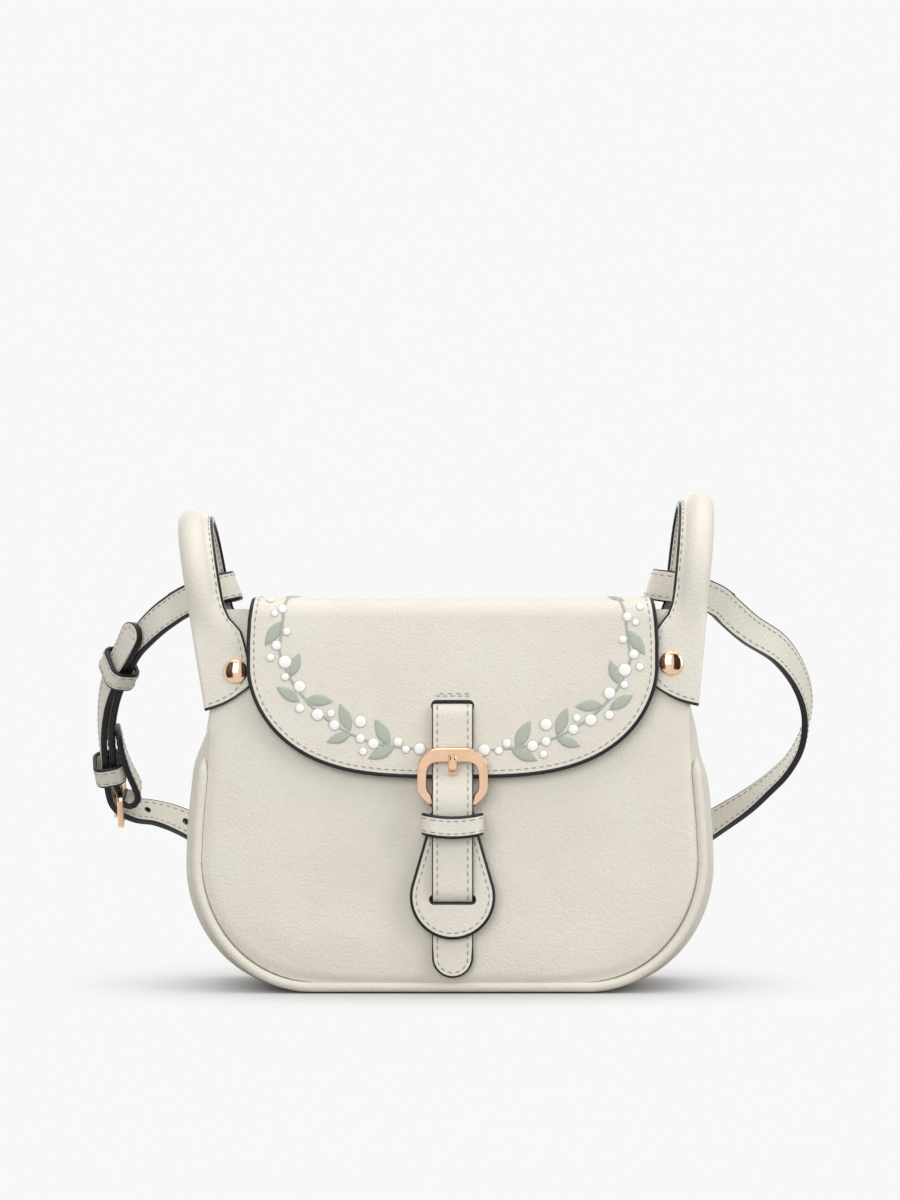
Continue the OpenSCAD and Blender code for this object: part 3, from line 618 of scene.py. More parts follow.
def level_panel(name, surface, crown, node_name):
    def place(u, v):
        h = SEAM_Z + (BODY_H - SEAM_Z) * (v ** 1.5)
        half = row_half(h)
        x = (2 * u - 1) * half
        side = (half - abs(x)) / 22
        low = (h - SEAM_Z) / 22
        near = min(1.0, max(0.0, min(side, 1.0)) * max(0.0, min(low, 1.0)))
        top = smoothstep((BODY_H - h) / 30)
        rise = crown * (1 - (1 - near) ** 2) * top
        roll = -1.2 * (max(0.0, 1 - near / 0.16) ** 2) * (1 if h < 100 else 0.3)
        crease = 0.18 * math.sin(0.05 * x + 0.09 * h) * math.sin(0.11 * h - 0.03 * x) * top * near
        return surface(x, h, rise + roll + crease)
    panel = loft(name, 96, 72, place, material=LEATHER)
    modifier(panel, "SOLIDIFY", thickness=1.6 * MM, offset=-1.0)
    paint_rim(panel, BODY_H - 1)
    smooth(panel, 60)
    return keep(panel, "bag", "leather", node_name)


level_panel("front_panel_leather", on_front, 1.1, "front_panel")
level_panel("back_panel_leather", on_back, 1.1, "back_panel")


# %% [markdown]
# A piping is a strip of leather folded round a cord and caught in the seam between panel and gusset. It
# could be a curve with a round bevel, but its two ends run out to a point under the handles, so it is
# lofted in rings along the panel's outline, and the rings shrink toward the ends.

# %% Piping: a round cord of leather, pointed at both ends
PIPE_R = 2.0
PIPE_TOP = 91.0


def pipe_path(u):
    t = 1 - abs(2 * u - 1)
    side = -1 if u < 0.5 else 1
    x, z = outline_point(t, 0, -PIPE_R, PIPE_TOP)
    return Vector((side * x, -half_depth(z) + PIPE_R - 0.3, z))


def piping_place(mirror):
    def place(u, v):
        step = 0.004
        here = pipe_path(u)
        along = (pipe_path(min(u + step, 1)) - pipe_path(max(u - step, 0))).normalized()
        across = along.cross(Vector((0, 1, 0))).normalized()
        end = min(u, 1 - u)
        r = PIPE_R * (0.12 + 0.88 * smoothstep(end / 0.035) ** 0.6)
        a = 2 * math.pi * v
        p = here + r * (math.cos(a) * across + math.sin(a) * Vector((0, 1, 0)))
        return (p.x, mirror * p.y, p.z)
    return place


for name, mirror, replaced in (("front_piping_cord", 1, "front_piping"),
                               ("back_piping_cord", -1, "back_piping")):
    cord = loft(name, 220, 12, piping_place(mirror), close_v=True, material=LEATHER)
    close_holes(cord)
    smooth(cord, 60)
    keep(cord, "bag", "leather", replaced)


# %% [markdown]
# The lining is a cloth bag that hangs free inside the leather and shows when the flap is open. Level
# rings follow the body at a small distance, and a slow wave lets the cloth sag. The floor is one face.

# %% Lining: a cloth bag inside, lofted through level rings
def section_half(z, inset):
    start = CORNER_H + inset
    if z >= start:
        return body_half(z, 1) - inset
    drop = (start - z) / CORNER_H
    return body_half(0, 1) - inset - CORNER_W + CORNER_W * math.sqrt(max(1 - drop * drop, 0))


LINING_INSET = 3.5


def lining_place(u, v):
    z = lerp(LINING_INSET + 0.4, BODY_H - 1, v ** 1.5)
    tuck = 12 * (1 - math.sqrt(1 - (1 - min(z - LINING_INSET, 12) / 12) ** 2))
    w = section_half(z, LINING_INSET)
    d = half_depth(z) - LINING_INSET - tuck
    a = 2 * math.pi * u
    c, s = math.cos(a), math.sin(a)
    x = math.copysign(abs(c) ** 0.45, c) * w
    y = math.copysign(abs(s) ** 0.45, s) * d
    sag = 0.5 * math.sin(0.16 * x) * math.sin(0.09 * z)
    return (x, y - math.copysign(abs(sag), y) if abs(y) > d * 0.7 else y, z)


lining = loft("lining_cloth", 120, 44, lining_place, close_u=True, material=LINING)
active(lining)
bpy.ops.object.mode_set(mode="EDIT")
bpy.ops.mesh.select_mode(type="VERT")
bpy.ops.mesh.select_all(action="DESELECT")
object_mode()
lowest = min(v.co.z for v in lining.data.vertices)
for v in lining.data.vertices:
    v.select = v.co.z < lowest + 0.00005
bpy.ops.object.mode_set(mode="EDIT")
bpy.ops.mesh.edge_face_add()
object_mode()
modifier(lining, "SOLIDIFY", thickness=0.6 * MM, offset=-1.0)
smooth(lining, 50)
keep(lining, "bag", "lining_cloth", "lining")


# %% [markdown]
# ## The flap
#
# The flap is one piece of leather: sewn to the back panel, creased over the back edge, flat across the
# top, rolled over the front edge and hanging down the front in a broad round. It is cut flat in the
# outline below, where the second coordinate is the height on the front and, past the fold, the length
# of leather. The crease at the back is where it opens.

# %% Laying the flap
FLAP_X = 1.0
FOLD_Y, FOLD_Z = -26.96, 145.5
FOLD_END = FOLD_Z + 8.0 * (math.pi / 2 - LEAN)
REAR_Y, REAR_Z = 27.7, 150.0
TOP_END = FOLD_END + REAR_Y - FOLD_Y
REAR_END = TOP_END + 3.5 * math.pi / 2
HEM_END = REAR_END + 15.0
FLAP_BASE = 3.8
FLAP_T = 2.1


def on_flap(a, b, up):
    """a across, b the height on the front or the length past the fold, up above the inner face."""
    off = FLAP_BASE + up
    r = off + 2.2
    x = a + FLAP_X
    if b <= FOLD_Z:
        s = (FOLD_Z - b) / COS_L
        return (x, FOLD_Y - r * COS_L - s * SIN_L, FOLD_Z + r * SIN_L - s * COS_L)
    if b <= FOLD_END:
        turn = LEAN + (b - FOLD_Z) / 8.0
        return (x, FOLD_Y - r * math.cos(turn), FOLD_Z + r * math.sin(turn))
    if b <= TOP_END:
        return (x, FOLD_Y + b - FOLD_END, FOLD_Z + r)
    inner = 1.5 + up
    if b <= REAR_END:
        turn = (b - TOP_END) / 3.5
        return (x, REAR_Y + inner * math.sin(turn), REAR_Z + inner * math.cos(turn))
    s = b - REAR_END
    return (x, REAR_Y + inner + s * SIN_L, REAR_Z - s * COS_L)


# %% Flap outline and leather
FLAP_HALF = 80.0
FLAP_SIDE_Z = 126.0
FLAP_LOW_Z = 83.0


def flap_half_outline():
    points = [(77.2, HEM_END), (77.2, 168.0), (77.6, 160.0), (78.6, 152.0), (79.6, 144.0), (80.0, 136.0)]
    for i in range(33):
        t = math.radians(90 * i / 32)
        points.append((FLAP_HALF * math.cos(t) ** 0.61,
                       FLAP_SIDE_Z - (FLAP_SIDE_Z - FLAP_LOW_Z) * math.sin(t) ** 1.1))
    return points


half = flap_half_outline()
FLAP_OUTLINE = half + [(-a, b) for a, b in reversed(half[:-1])]
SLOT_BOX = round_box(-6.9, 110.3, 6.9, 111.9, 0.7)
flap_rows = frange(FOLD_Z, FOLD_END, 1.2) + frange(TOP_END, REAR_END, 0.8) + [170, 182, 194, 204, 208]
flap = flat_piece("flap_leather", FLAP_OUTLINE, FLAP_T, 1.04, rows=flap_rows, holes=[SLOT_BOX], border=0.8)
lay(flap, on_flap)
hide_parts("flap", "flap_rear_hem")
REAR_CREASE = ((0, 0.0312, 0.1480), (0, 0.0230, 0.1535))
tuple(REAR_CREASE[0])
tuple(REAR_CREASE[1])
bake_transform(flap)
print("flap", len(flap.data.polygons))

# %% Flap facing: the cloth behind it
facing_half = [(a - 1.2 if a > 2 else a, b + (1.2 if b < 126 else 0)) for a, b in half[1:]]
facing_half = [(76.0, TOP_END - 1)] + facing_half
facing = flat_piece("flap_facing_cloth", facing_half + [(-a, b) for a, b in reversed(facing_half[:-1])],
                    0.75, 0.2, rows=frange(FOLD_Z, FOLD_END, 1.2), holes=[SLOT_BOX], border=0)
facing.data.materials.clear()
facing.data.materials.append(LINING)
for face in facing.data.polygons:
    face.material_index = 0
lay(facing, lambda a, b, up: on_flap(a, b, up - 0.78))
keep(facing, "flap", "lining_cloth", "flap_facing")

# %% Flap stitches
front_line = [p for p in FLAP_OUTLINE if p[1] < FOLD_END + 20]
front_line = [(77.2, 176.0)] + front_line + [(-77.2, 176.0)]
stitch_line = beside(front_line, -2.9)
sew("flap_stitches", [(stitch_line, False)], lambda a, b, up: on_flap(a, b, up + FLAP_T), "flap")
sew("slot_stitches", [([(-7.2, 114.9), (7.2, 114.9)], False), ([(-5.8, 115.8), (7.2, 115.8)], False)],
    lambda a, b, up: on_flap(a, b, up + FLAP_T), "flap")


# %% [markdown]
# ## The closure
#
# The strap comes out of a slot in the flap, passes behind the upper bar of the buckle frame, over the
# frame's own bar, through a keeper, and dives through a slot in the pear tab. Each piece is cut flat
# and laid along a line in the plane of height and offset from the front panel.

# %% A line in the plane of height and offset
def catmull(a, b, c, d, t):
    return 0.5 * (2 * b + (c - a) * t + (2 * a - 5 * b + 4 * c - d) * t * t
                  + (3 * b - a - 3 * c + d) * t ** 3)


def curve_points(points, steps=6):
    """Points of a smooth curve through the given ones, with this many steps between two."""
    out = []
    n = len(points)
    for i in range(n - 1):
        a, b = points[max(i - 1, 0)], points[i]
        c, d = points[i + 1], points[min(i + 2, n - 1)]
        for k in range(steps):
            out.append(Vector([catmull(a[j], b[j], c[j], d[j], k / steps) for j in range(len(b))]))
    out.append(Vector(points[-1]))
    return out


class Track:
    """A smooth line through the points, walked by length."""

    def __init__(self, points, steps=6):
        self.points = curve_points(points, steps)
        self.at = [0.0]
        for p, q in zip(self.points, self.points[1:]):
            self.at.append(self.at[-1] + (q - p).length)
        self.length = self.at[-1]

    def find(self, s):
        s = min(max(s, 0.0), self.length)
        low, high = 0, len(self.at) - 1
        while high - low > 1:
            mid = (low + high) // 2
            if self.at[mid] <= s:
                low = mid
            else:
                high = mid
        t = (s - self.at[low]) / max(self.at[low + 1] - self.at[low], 1e-9)
        return low, t

    def point(self, s):
        k, t = self.find(s)
        return self.points[k].lerp(self.points[k + 1], t)

    def length_at(self, first):
        """Length at which the first coordinate falls to a value."""
        return next(s for p, s in zip(self.points, self.at) if p[0] <= first)

    def along(self, s, reach=0.6):
        return (self.point(s + reach) - self.point(s - reach)).normalized()


FLAP_FRONT = 5.8
CLOSURE_W = 16.0
CLOSURE_T = 2.2
STRAP_OFF = FLAP_FRONT + 0.2 + CLOSURE_T / 2
BAR_Z, BAR_OFF = 74.5, 6.6
OVER_BAR = BAR_OFF + 1.2 + 0.1 + 1.6 + 0.15 + CLOSURE_T / 2
TAB_OFF = 4 + 2.2 + 0.15 + CLOSURE_T / 2
BEHIND_OFF = 4 - 0.2 - CLOSURE_T / 2
closure_track = Track([
    (111.4, STRAP_OFF - 2.8), (110.6, STRAP_OFF - 1.2), (109.1, STRAP_OFF - 0.3), (106, STRAP_OFF),
    (100, STRAP_OFF), (92, STRAP_OFF), (87, STRAP_OFF + 0.25), (83, STRAP_OFF + 1), (79, OVER_BAR - 0.9),
    (BAR_Z, OVER_BAR), (70.5, OVER_BAR - 0.3), (66, OVER_BAR - 1.4), (61, TAB_OFF + 0.4), (56, TAB_OFF),
    (45, TAB_OFF), (41, TAB_OFF), (39, TAB_OFF - 0.1), (37.7, TAB_OFF - 0.6), (36.8, TAB_OFF - 1.7),
    (36, TAB_OFF - 3.1), (35, BEHIND_OFF + 0.5), (33, BEHIND_OFF), (20, BEHIND_OFF - 0.1),
    (6, BEHIND_OFF - 0.3)])


def on_closure(a, b, up):
    """a across, b the length down the strap, up above its middle."""
    p = closure_track.point(b)
    d = closure_track.along(b)
    return on_front(a + FLAP_X, p.x + d.y * up, p.y - d.x * up)


# %% Closure strap
LENGTH = closure_track.length
TIP_W = CLOSURE_W / 2
strap_outline = ([(TIP_W, 0), (TIP_W, LENGTH - TIP_W)]
                 + arc(0, LENGTH - TIP_W, TIP_W, TIP_W, 0, 180, 24)[1:] + [(-TIP_W, 0)])
hole_at = closure_track.length_at(86.0)
window = arc(0, hole_at, 0.55, 0.55, 0, 345, 23)
closure = flat_piece("closure_strap_leather", strap_outline, CLOSURE_T, 1.05, rows=frange(0, LENGTH, 1.6),
                     holes=[window], border=0.25)
lay(closure, lambda a, b, up: on_closure(a, b, up - CLOSURE_T / 2))
keep(closure, "closure", "leather", "closure_strap", "closure_strap_root")
sew("closure_strap_stitches", [(beside(strap_outline[:-1] + [(-TIP_W, 1)], 2.1), False)],
    lambda a, b, up: on_closure(a, b, up + CLOSURE_T / 2), "closure")

# %% [markdown]
# The pear tab hangs from the frame's lower bar and takes the strap's end through its slot. It is a flat
# piece, laid on the front with a small belly, because thick leather doesn't lie quite flat.

# %% Pear tab
PEAR_R, PEAR_Z, NECK = 16.6, 37.5, 7.2
turn = math.radians(14)
pear_side = [(NECK, 72.4), (8.8, 69.0), (9.7, 65.5), (10.4, 61.5), (11.9, 56.0)]
pear_round = arc(0, PEAR_Z, PEAR_R, PEAR_R, math.degrees(turn), -180 - math.degrees(turn), 44)
PEAR = ([(NECK, BAR_Z + 1.0)] + pear_side + pear_round
        + [(-a, b) for a, b in reversed(pear_side)] + [(-NECK, BAR_Z + 1.0)])
SLOT = round_box(-8.0, 35.5, 8.0, 37.2, 0.75)


def on_pear(a, b, up):
    rise = 0.9 * smoothstep((b - 60) / 14)
    belly = 0.35 * math.cos(math.pi * a / 34) if abs(a) < 17 else 0
    return on_front(a + FLAP_X, b, 4 + up + rise + belly)


pear = flat_piece("pear_tab_leather", PEAR, 2.2, 1.0, rows=frange(22, 74, 2.5), columns=frange(-14, 14, 4),
                  holes=[SLOT], border=0.4)
lay(pear, on_pear)
keep(pear, "closure", "leather", "closure_pear_tab")
pear_row = beside(PEAR, -2.5)
pear_row = [p for p in pear_row if p[1] < 70]
sew("pear_tab_stitches", [(pear_row, False)],
    lambda a, b, up: on_pear(a, b, up + 2.2), "closure")


# %% [markdown]
# A strip at the tab's neck runs round the bar, so the bar carries the tab. The strip is lofted as part
# of a circle and then given its thickness.

# %% Pear tab's loop round the bar
def eye_place(u, v):
    a = math.radians(lerp(-60, 240, v))
    return on_front(FLAP_X + lerp(-NECK, NECK, u), BAR_Z + 2.05 * math.cos(a), BAR_OFF + 2.05 * math.sin(a))


eye = loft("pear_tab_eye", 14, 20, eye_place, material=LEATHER)
modifier(eye, "SOLIDIFY", thickness=1.4 * MM, offset=0)
smooth(eye, 40)
keep(eye, "closure", "leather")


# %% [markdown]
# Keepers are closed bands of leather. A band is cut flat with painted edges, and wrapped round a
# rounded rectangle, so the paint and the two stitch rows follow it all the way.

# %% Bands wrapped round a rounded rectangle
def ring_track(half_w, half_t, r):
    corners = round_box(-half_w, -half_t, half_w, half_t, r, 8)
    start = (0.0, half_t)
    turned = [corners[(9 + k) % len(corners)] for k in range(len(corners))]
    return Track([Vector(p) for p in [start] + turned + [start]], steps=1)


def wrapped_band(name, half_w, half_t, r, height, thick, place, body, node_name, edge=0.72):
    """A band of leather of this height round a rounded rectangle, laid by place(x, y, along)."""
    ring = ring_track(half_w, half_t, r)
    outline = [(0, 0), (height, 0), (height, ring.length), (0, ring.length)]
    band = flat_piece(name, outline, thick, edge, rows=frange(0, ring.length, 0.9))

    def bend(a, b, up):
        p = ring.point(b)
        d = ring.along(b, 0.3)
        return place(p.x + d.y * up, p.y - d.x * up, a - height / 2)
    lay(band, bend)
    keep(band, body, "leather", node_name)
    rows = [([(x, 0), (x, ring.length)], False) for x in (2.0, height - 2.0)]
    sew(name + "_stitches", rows, lambda a, b, up: bend(a, b, up + thick), body)
    return band


KEEPER_Z, KEEPER_H = 64.2, 8.8
KEEPER_BOW = 1.1
KEEPER_BACK, KEEPER_FRONT = 3.7, OVER_BAR + CLOSURE_T / 2 + 0.3
KEEPER_MID = (KEEPER_BACK + KEEPER_FRONT) / 2
KEEPER_HALF_W = 10.3


def on_keeper(x, y, s):
    bow = KEEPER_BOW * (x / KEEPER_HALF_W) ** 2
    return on_front(FLAP_X + x, KEEPER_Z + s + bow, KEEPER_MID - y)


wrapped_band("closure_keeper_leather", KEEPER_HALF_W, (KEEPER_FRONT - KEEPER_BACK) / 2, 3.2, KEEPER_H, 1.75,
             on_keeper, "closure", "closure_keeper", 0.85)


# %% [markdown]
# ## The buckles
#
# The closure buckle is a cast frame with cut corners, polished soft. Its outline runs round the outside
# and back along the inside, so it leaves a gap at the lower bar. It is extruded, and a wide bevel rounds
# it into the plump section that catches a broad highlight.

# %% Closure buckle frame
TOP_BAR_Z = 92.5
TOP_BAR_OFF = STRAP_OFF + CLOSURE_T / 2 + 0.7 + 1.5
TILT = math.atan2(TOP_BAR_OFF - BAR_OFF, TOP_BAR_Z - BAR_Z)


def on_buckle(x, up, out):
    h = BAR_Z + up * math.cos(TILT) - out * math.sin(TILT)
    off = BAR_OFF + up * math.sin(TILT) + out * math.cos(TILT)
    return on_front(FLAP_X + x, h, off)


def rounded(raw, r, count=5, sharp=()):
    """The polygon with its corners rounded, apart from those with these numbers."""
    out = []
    n = len(raw)
    for i, p in enumerate(raw):
        if i in sharp:
            out.append(p)
            continue
        a, b = Vector(raw[i - 1]), Vector(raw[(i + 1) % n])
        p = Vector(p)
        da, db = (a - p), (b - p)
        ka, kb = min(r, da.length / 2.2), min(r, db.length / 2.2)
        s, e = p + da.normalized() * ka, p + db.normalized() * kb
        for k in range(count + 1):
            t = k / count
            q = s.lerp(p, t).lerp(p.lerp(e, t), t)
            out.append((q.x, q.y))
    return out


def cast_frame(name, outer, holes, thick, edge, place, body, node_name):
    frame_obj = flat_piece(name, outer, thick, edge, holes=holes, border=0)
    frame_obj.data.materials.clear()
    frame_obj.data.materials.append(GOLD)
    for face in frame_obj.data.polygons:
        face.material_index = 0
    lay(frame_obj, place)
    smooth(frame_obj, 50)
    return keep(frame_obj, body, "gold_metal", node_name)


def bar_piece(name, half, r, place, body, node_name):
    """Round bar along its own first axis."""
    bar = loft(name, 6, 16, lambda u, v: place(lerp(-half, half, u), r * math.cos(2 * math.pi * v),
                                               r * math.sin(2 * math.pi * v)), close_v=True, material=GOLD)
    close_holes(bar)
    smooth(bar, 50)
    return keep(bar, body, "gold_metal", node_name)


OUTER_HALF = [(7.6, -2.2), (8.3, -2.1), (13.65, 3.3), (13.65, 15.6), (8.4, 21)]
INNER_HALF = [(7.6, 1.8), (10.2, 4.6), (10.2, 13.2), (7.5, 15.7)]
HOOK = OUTER_HALF + [(-a, b) for a, b in reversed(OUTER_HALF)]
HOOK += [(-a, b) for a, b in INNER_HALF] + list(reversed(INNER_HALF))
cast_frame("closure_buckle_cast", rounded(HOOK, 3.1, sharp=(0, 9, 10, 17)), [], 2.9, 0.85,
           lambda a, b, up: on_buckle(a, b, up - 1.45), "closure", "closure_buckle_frame")
bar_piece("closure_buckle_pin", 8.5, 1.15, on_buckle, "closure", "closure_buckle_bar")


# %% [markdown]
# A cast prong is nearly a bar, but its ends are rounded and its section is a soft rectangle. It is
# lofted along a track, with rings that shrink at both ends like those of a capsule.

# %% Closure prong: a wide flat tongue with a rounded end
def prong_piece(name, path, half_w, half_t, place, body, node_name):
    track = Track(path)

    def shape(u, v):
        s = u * track.length
        end = min(s, track.length - s)
        round_end = math.sqrt(max(0.0, 1 - (1 - min(end / half_w, 1)) ** 2))
        a = 2 * math.pi * v
        c, t = math.cos(a), math.sin(a)
        x = math.copysign(abs(c) ** 0.8, c) * half_w * max(round_end, 0.05)
        y = math.copysign(abs(t) ** 0.8, t) * half_t * max(min(1, round_end * 1.4), 0.05)
        p = track.point(s)
        d = track.along(s, 0.3)
        return place(x, p.x + d.y * y, p.y - d.x * y)
    prong = loft(name, 40, 20, shape, close_v=True, material=GOLD)
    close_holes(prong)
    smooth(prong, 50)
    return keep(prong, body, "gold_metal", node_name)


prong_piece("closure_prong_cast", [(BAR_Z + 1.4, BAR_OFF - 0.2), (79, BAR_OFF + 0.1), (82.2, BAR_OFF + 0.4),
                                   (84.2, STRAP_OFF - 0.3), (85.2, STRAP_OFF + 2.6), (87, STRAP_OFF + 4.8),
                                   (90, STRAP_OFF + 5.7), (92.3, STRAP_OFF + 6.1)],
            1.75, 0.95, lambda x, h, off: on_front(FLAP_X + x, h, off), "closure_prong", "closure_prong")


# %% [markdown]
# ## The handles
#
# A handle is one piece of leather: a riveted tab on the front of the bag, rounded over a filler cord
# into a padded arch, and down to the same tab at the back. The inner edges are sewn together as a flat
# flange beside the tube. Its section changes smoothly from the flat tab to the tube with its flange,
# so it is lofted through rings of equally many points.

# %% Handle sections
TUBE_R, ARCH_R = 5.6, 27.5
TAB_Y = half_depth(111) + 0.2
HANDLE = {
    -1: {"lean": 9.5, "foot": (lookup(112, PANEL_SIDE) + 2.6, 111.5), "arch": 155.2, "rivet": (14.4, 11)},
    1: {"lean": 5.5, "foot": (lookup(112, PANEL_SIDE) + 3.8, 113.5), "arch": 162.1, "rivet": (12.3, 13.3)},
}


def handle_frame(side, p):
    """From the handle's own upright plane to the bag: x is outward from the tab's outer edge."""
    data = HANDLE[side]
    lean = math.radians(data["lean"])
    x = p[0] * math.cos(lean) + p[2] * math.sin(lean)
    z = -p[0] * math.sin(lean) + p[2] * math.cos(lean)
    return (side * (data["foot"][0] + x), p[1], data["foot"][1] + z)


RING = 40


def tube_section(k):
    """Point k of the padded section: (inward, outward)."""
    if k < 4:
        return [(14.0, -1.0), (14.0, 1.0), (13.0, 1.3), (11.6, 1.5)][k]
    if k >= RING - 2:
        return [(11.6, -1.5), (13.0, -1.3)][k - (RING - 2)]
    a = math.radians(lerp(158, -158, (k - 4) / (RING - 7)))
    return (TUBE_R - TUBE_R * math.cos(a), TUBE_R * math.sin(a))


def tab_section(k, w):
    if k < 4:
        return [(w, -0.75), (w, 0.75), (w - 0.6, 1.05), (w - 1.6, 1.05)][k]
    if k >= RING - 2:
        return [(w - 1.6, -1.05), (w - 0.6, -1.05)][k - (RING - 2)]
    t = (k - 4) / (RING - 7)
    if t < 0.44:
        return (lerp(w - 2.4, 0.9, t / 0.44), 1.05)
    if t > 0.56:
        return (lerp(0.9, w - 2.4, (t - 0.56) / 0.44), -1.05)
    a = math.radians(lerp(90, -90, (t - 0.44) / 0.12))
    return (0.9 - 0.9 * math.cos(a), 1.05 * math.sin(a))


# Tab rows: height at the outer edge, width, height at the inner edge, share of the tube's section
TAB_ROWS = [(-2.3, 18.6, 3.9, 0), (-1.95, 19.0, 4.4, 0), (-1.15, 19.3, 5.2, 0), (1.6, 19.8, 7.8, 0),
            (6.5, 20, 11.6, 0), (13, 20, 16.5, 0), (19, 19.9, 21, 0.02), (25, 19.4, 26.3, 0.06),
            (28.4, 17.9, 29.4, 0.16), (31.4, 16.1, 32.2, 0.32), (36, 14.8, 36.6, 0.62),
            (40.5, 14.2, 40.8, 0.88), (44.5, 14.0, 44.6, 1.0)]


def handle_rings(side):
    data = HANDLE[side]
    up = (data["arch"] - data["foot"][1]) / math.cos(math.radians(data["lean"]))
    rings = []
    scale = min(1.0, up / 44.6)
    for z0, w, z1, share in TAB_ROWS:
        z0, z1 = z0 * scale, z1 * scale
        ring = []
        for k in range(RING):
            tx, tq = tube_section(k)
            fx, fq = tab_section(k, w)
            inward, out = lerp(fx, tx, share), lerp(fq, tq, share)
            bow = 1.4 * math.sin(math.pi * min(inward / w, 1)) if z0 < 3 else 0
            z = lerp(z0, z1, min(inward / w, 1)) - bow
            base_y = lerp(TAB_Y + 1.05 - z * TAN_L, ARCH_R, share)
            ring.append((-inward, -(base_y + out), z))
        rings.append(ring)
    for z in frange(44.6 * scale, up, 3.0)[1:]:
        rings.append([(-tube_section(k)[0], -(ARCH_R + tube_section(k)[1]), z) for k in range(RING)])
    count = 22
    for i in range(1, count + 1):
        a = math.pi * i / count / 2
        rings.append([(-tube_section(k)[0], -(ARCH_R + tube_section(k)[1]) * math.cos(a),
                       up + (ARCH_R + tube_section(k)[1]) * math.sin(a)) for k in range(RING)])
    back = [[(x, -y, z) for x, y, z in ring] for ring in reversed(rings[:-1])]
    return rings + back


def make_handle(side, name, node_name):
    rings = handle_rings(side)
    n = len(rings) - 1

    def place(u, v):
        ring = rings[min(int(round(u * n)), n)]
        return handle_frame(side, ring[int(round(v * RING)) % RING])

    def paint(u, v):
        k, j = int(v * RING), min(int(u * n), n - 1)
        foot = min(j, n - 1 - j)
        return k <= 1 or k >= RING - 1 or foot < 2

    handle = loft(name, n, RING, place, close_v=True, material=LEATHER, paint=paint)
    close_holes(handle)
    smooth(handle, 60)
    return keep(handle, "bag", "leather", node_name)


make_handle(-1, "left_handle_leather", "left_handle_cover")
make_handle(1, "right_handle_leather", "right_handle_cover")


# %% [markdown]
# Between the front and the back tab the handle's leather runs on round the bag's side, with a deep dip
# in its upper edge. It is lofted in the handle's own frame, so it leans with the handle.

# %% Leather that wraps round the bag's side between a handle's tabs
def wrap_place(side):
    def place(u, v):
        s = 2 * u - 1
        low_dip = 0.4
        z_top = 37.0 - 13.0 * (1 - abs(s) ** 2.2)
        z = lerp(low_dip, z_top, v)
        reach = TAB_Y + 1.9 - z * TAN_L
        edge = max(0.0, abs(s) - 0.86) / 0.14
        x = -0.15 - 2.6 * edge ** 2.0 + 0.5 * math.cos(math.pi * s / 2)
        return handle_frame(side, (x, s * reach + math.copysign(0.15, s) * edge, z))
    return place


for side, name in ((-1, "left_side_wrap"), (1, "right_side_wrap")):
    wrap = loft(name, 48, 16, wrap_place(side), material=LEATHER)
    modifier(wrap, "SOLIDIFY", thickness=1.8 * MM, offset=-1.0)
    smooth(wrap, 60)
    keep(wrap, "bag", "leather")


# %% [markdown]
# The stitches follow the inner edge of the flange and the foot of each tab. The flange is a bent
# surface, so every stitch is placed in the handle's own frame and is turned along the edge.

# %% Handle stitches: down the flange and round the tab
def handle_stitches(side, name):
    data = HANDLE[side]
    up = (data["arch"] - data["foot"][1]) / math.cos(math.radians(data["lean"]))
    rim = [(44.5, 11.9), (40, 12.2), (35, 12.9), (31.5, 14.2), (28.5, 15.9), (25, 17.2), (20, 17.8),
           (14, 17.9), (8.6, 17.3)]
    foot = [(17.2, 7.0), (12.0, 2.9), (6.0, 0.9), (1.4, 0.1)]
    spots = walk([(-w, z) for z, w in rim], STITCH_STEP)
    spots += walk([(-w, z) for w, z in foot], STITCH_STEP)
    points, faces = STITCH
    verts, polys = [], []
    for sign in (-1, 1):
        for x, z, turn in spots:
            share = lookup(z, [(19, 0.03), (25, 0.1), (31, 0.3), (36, 0.62), (40.5, 0.88), (44.5, 1.0)])
            c, s = math.cos(turn), math.sin(turn)
            base = len(verts)
            for p in points:
                zz = z + p.x * s + p.y * c
                y = lerp(TAB_Y + 2.12 - zz * TAN_L, ARCH_R + 1.5, share if z > 19 else 0) + p.z
                verts.append(handle_frame(side, (x + p.x * c - p.y * s, sign * y, zz)))
            polys.extend(tuple(base + k for k in f) for f in faces)
        steps = int(math.pi / 2 * ARCH_R / STITCH_STEP)
        leg = max(0, int((up - 44.5) / STITCH_STEP))
        for face_side in (-1, 1):
            for k in range(leg + steps):
                base = len(verts)
                for p in points:
                    r = ARCH_R + face_side * (1.45 + p.z)
                    if k < leg:
                        q = (-12.4 - p.y, sign * r, 44.5 + (k + 0.5) * STITCH_STEP + p.x)
                    else:
                        a = (k - leg + 0.5) / steps * math.pi / 2 + p.x / ARCH_R
                        q = (-12.4 - p.y, sign * r * math.cos(a), up + r * math.sin(a))
                    verts.append(handle_frame(side, q))
                polys.extend(tuple(base + j for j in f) for f in faces)
    return keep(grain_mesh(name, verts, polys, THREAD), "bag", "leather")


handle_stitches(-1, "left_handle_stitches")
handle_stitches(1, "right_handle_stitches")


# %% [markdown]
# Each tab is held by a rivet with a polished cap. A cap is turned round its own middle from half a
# section, as it is on a lathe. The four caps are joined, because the CAD has them as one node.

# %% Rivet caps: slightly domed discs with a rounded rim
CAP = Track([(r, 1.9 - 0.7 * (r / 3.9) ** 2) for r in (0.02, 1, 2, 3, 3.9)]
            + [(4.3, 1.0), (4.62, 0.72), (4.8, 0.25), (4.8, -0.3)])


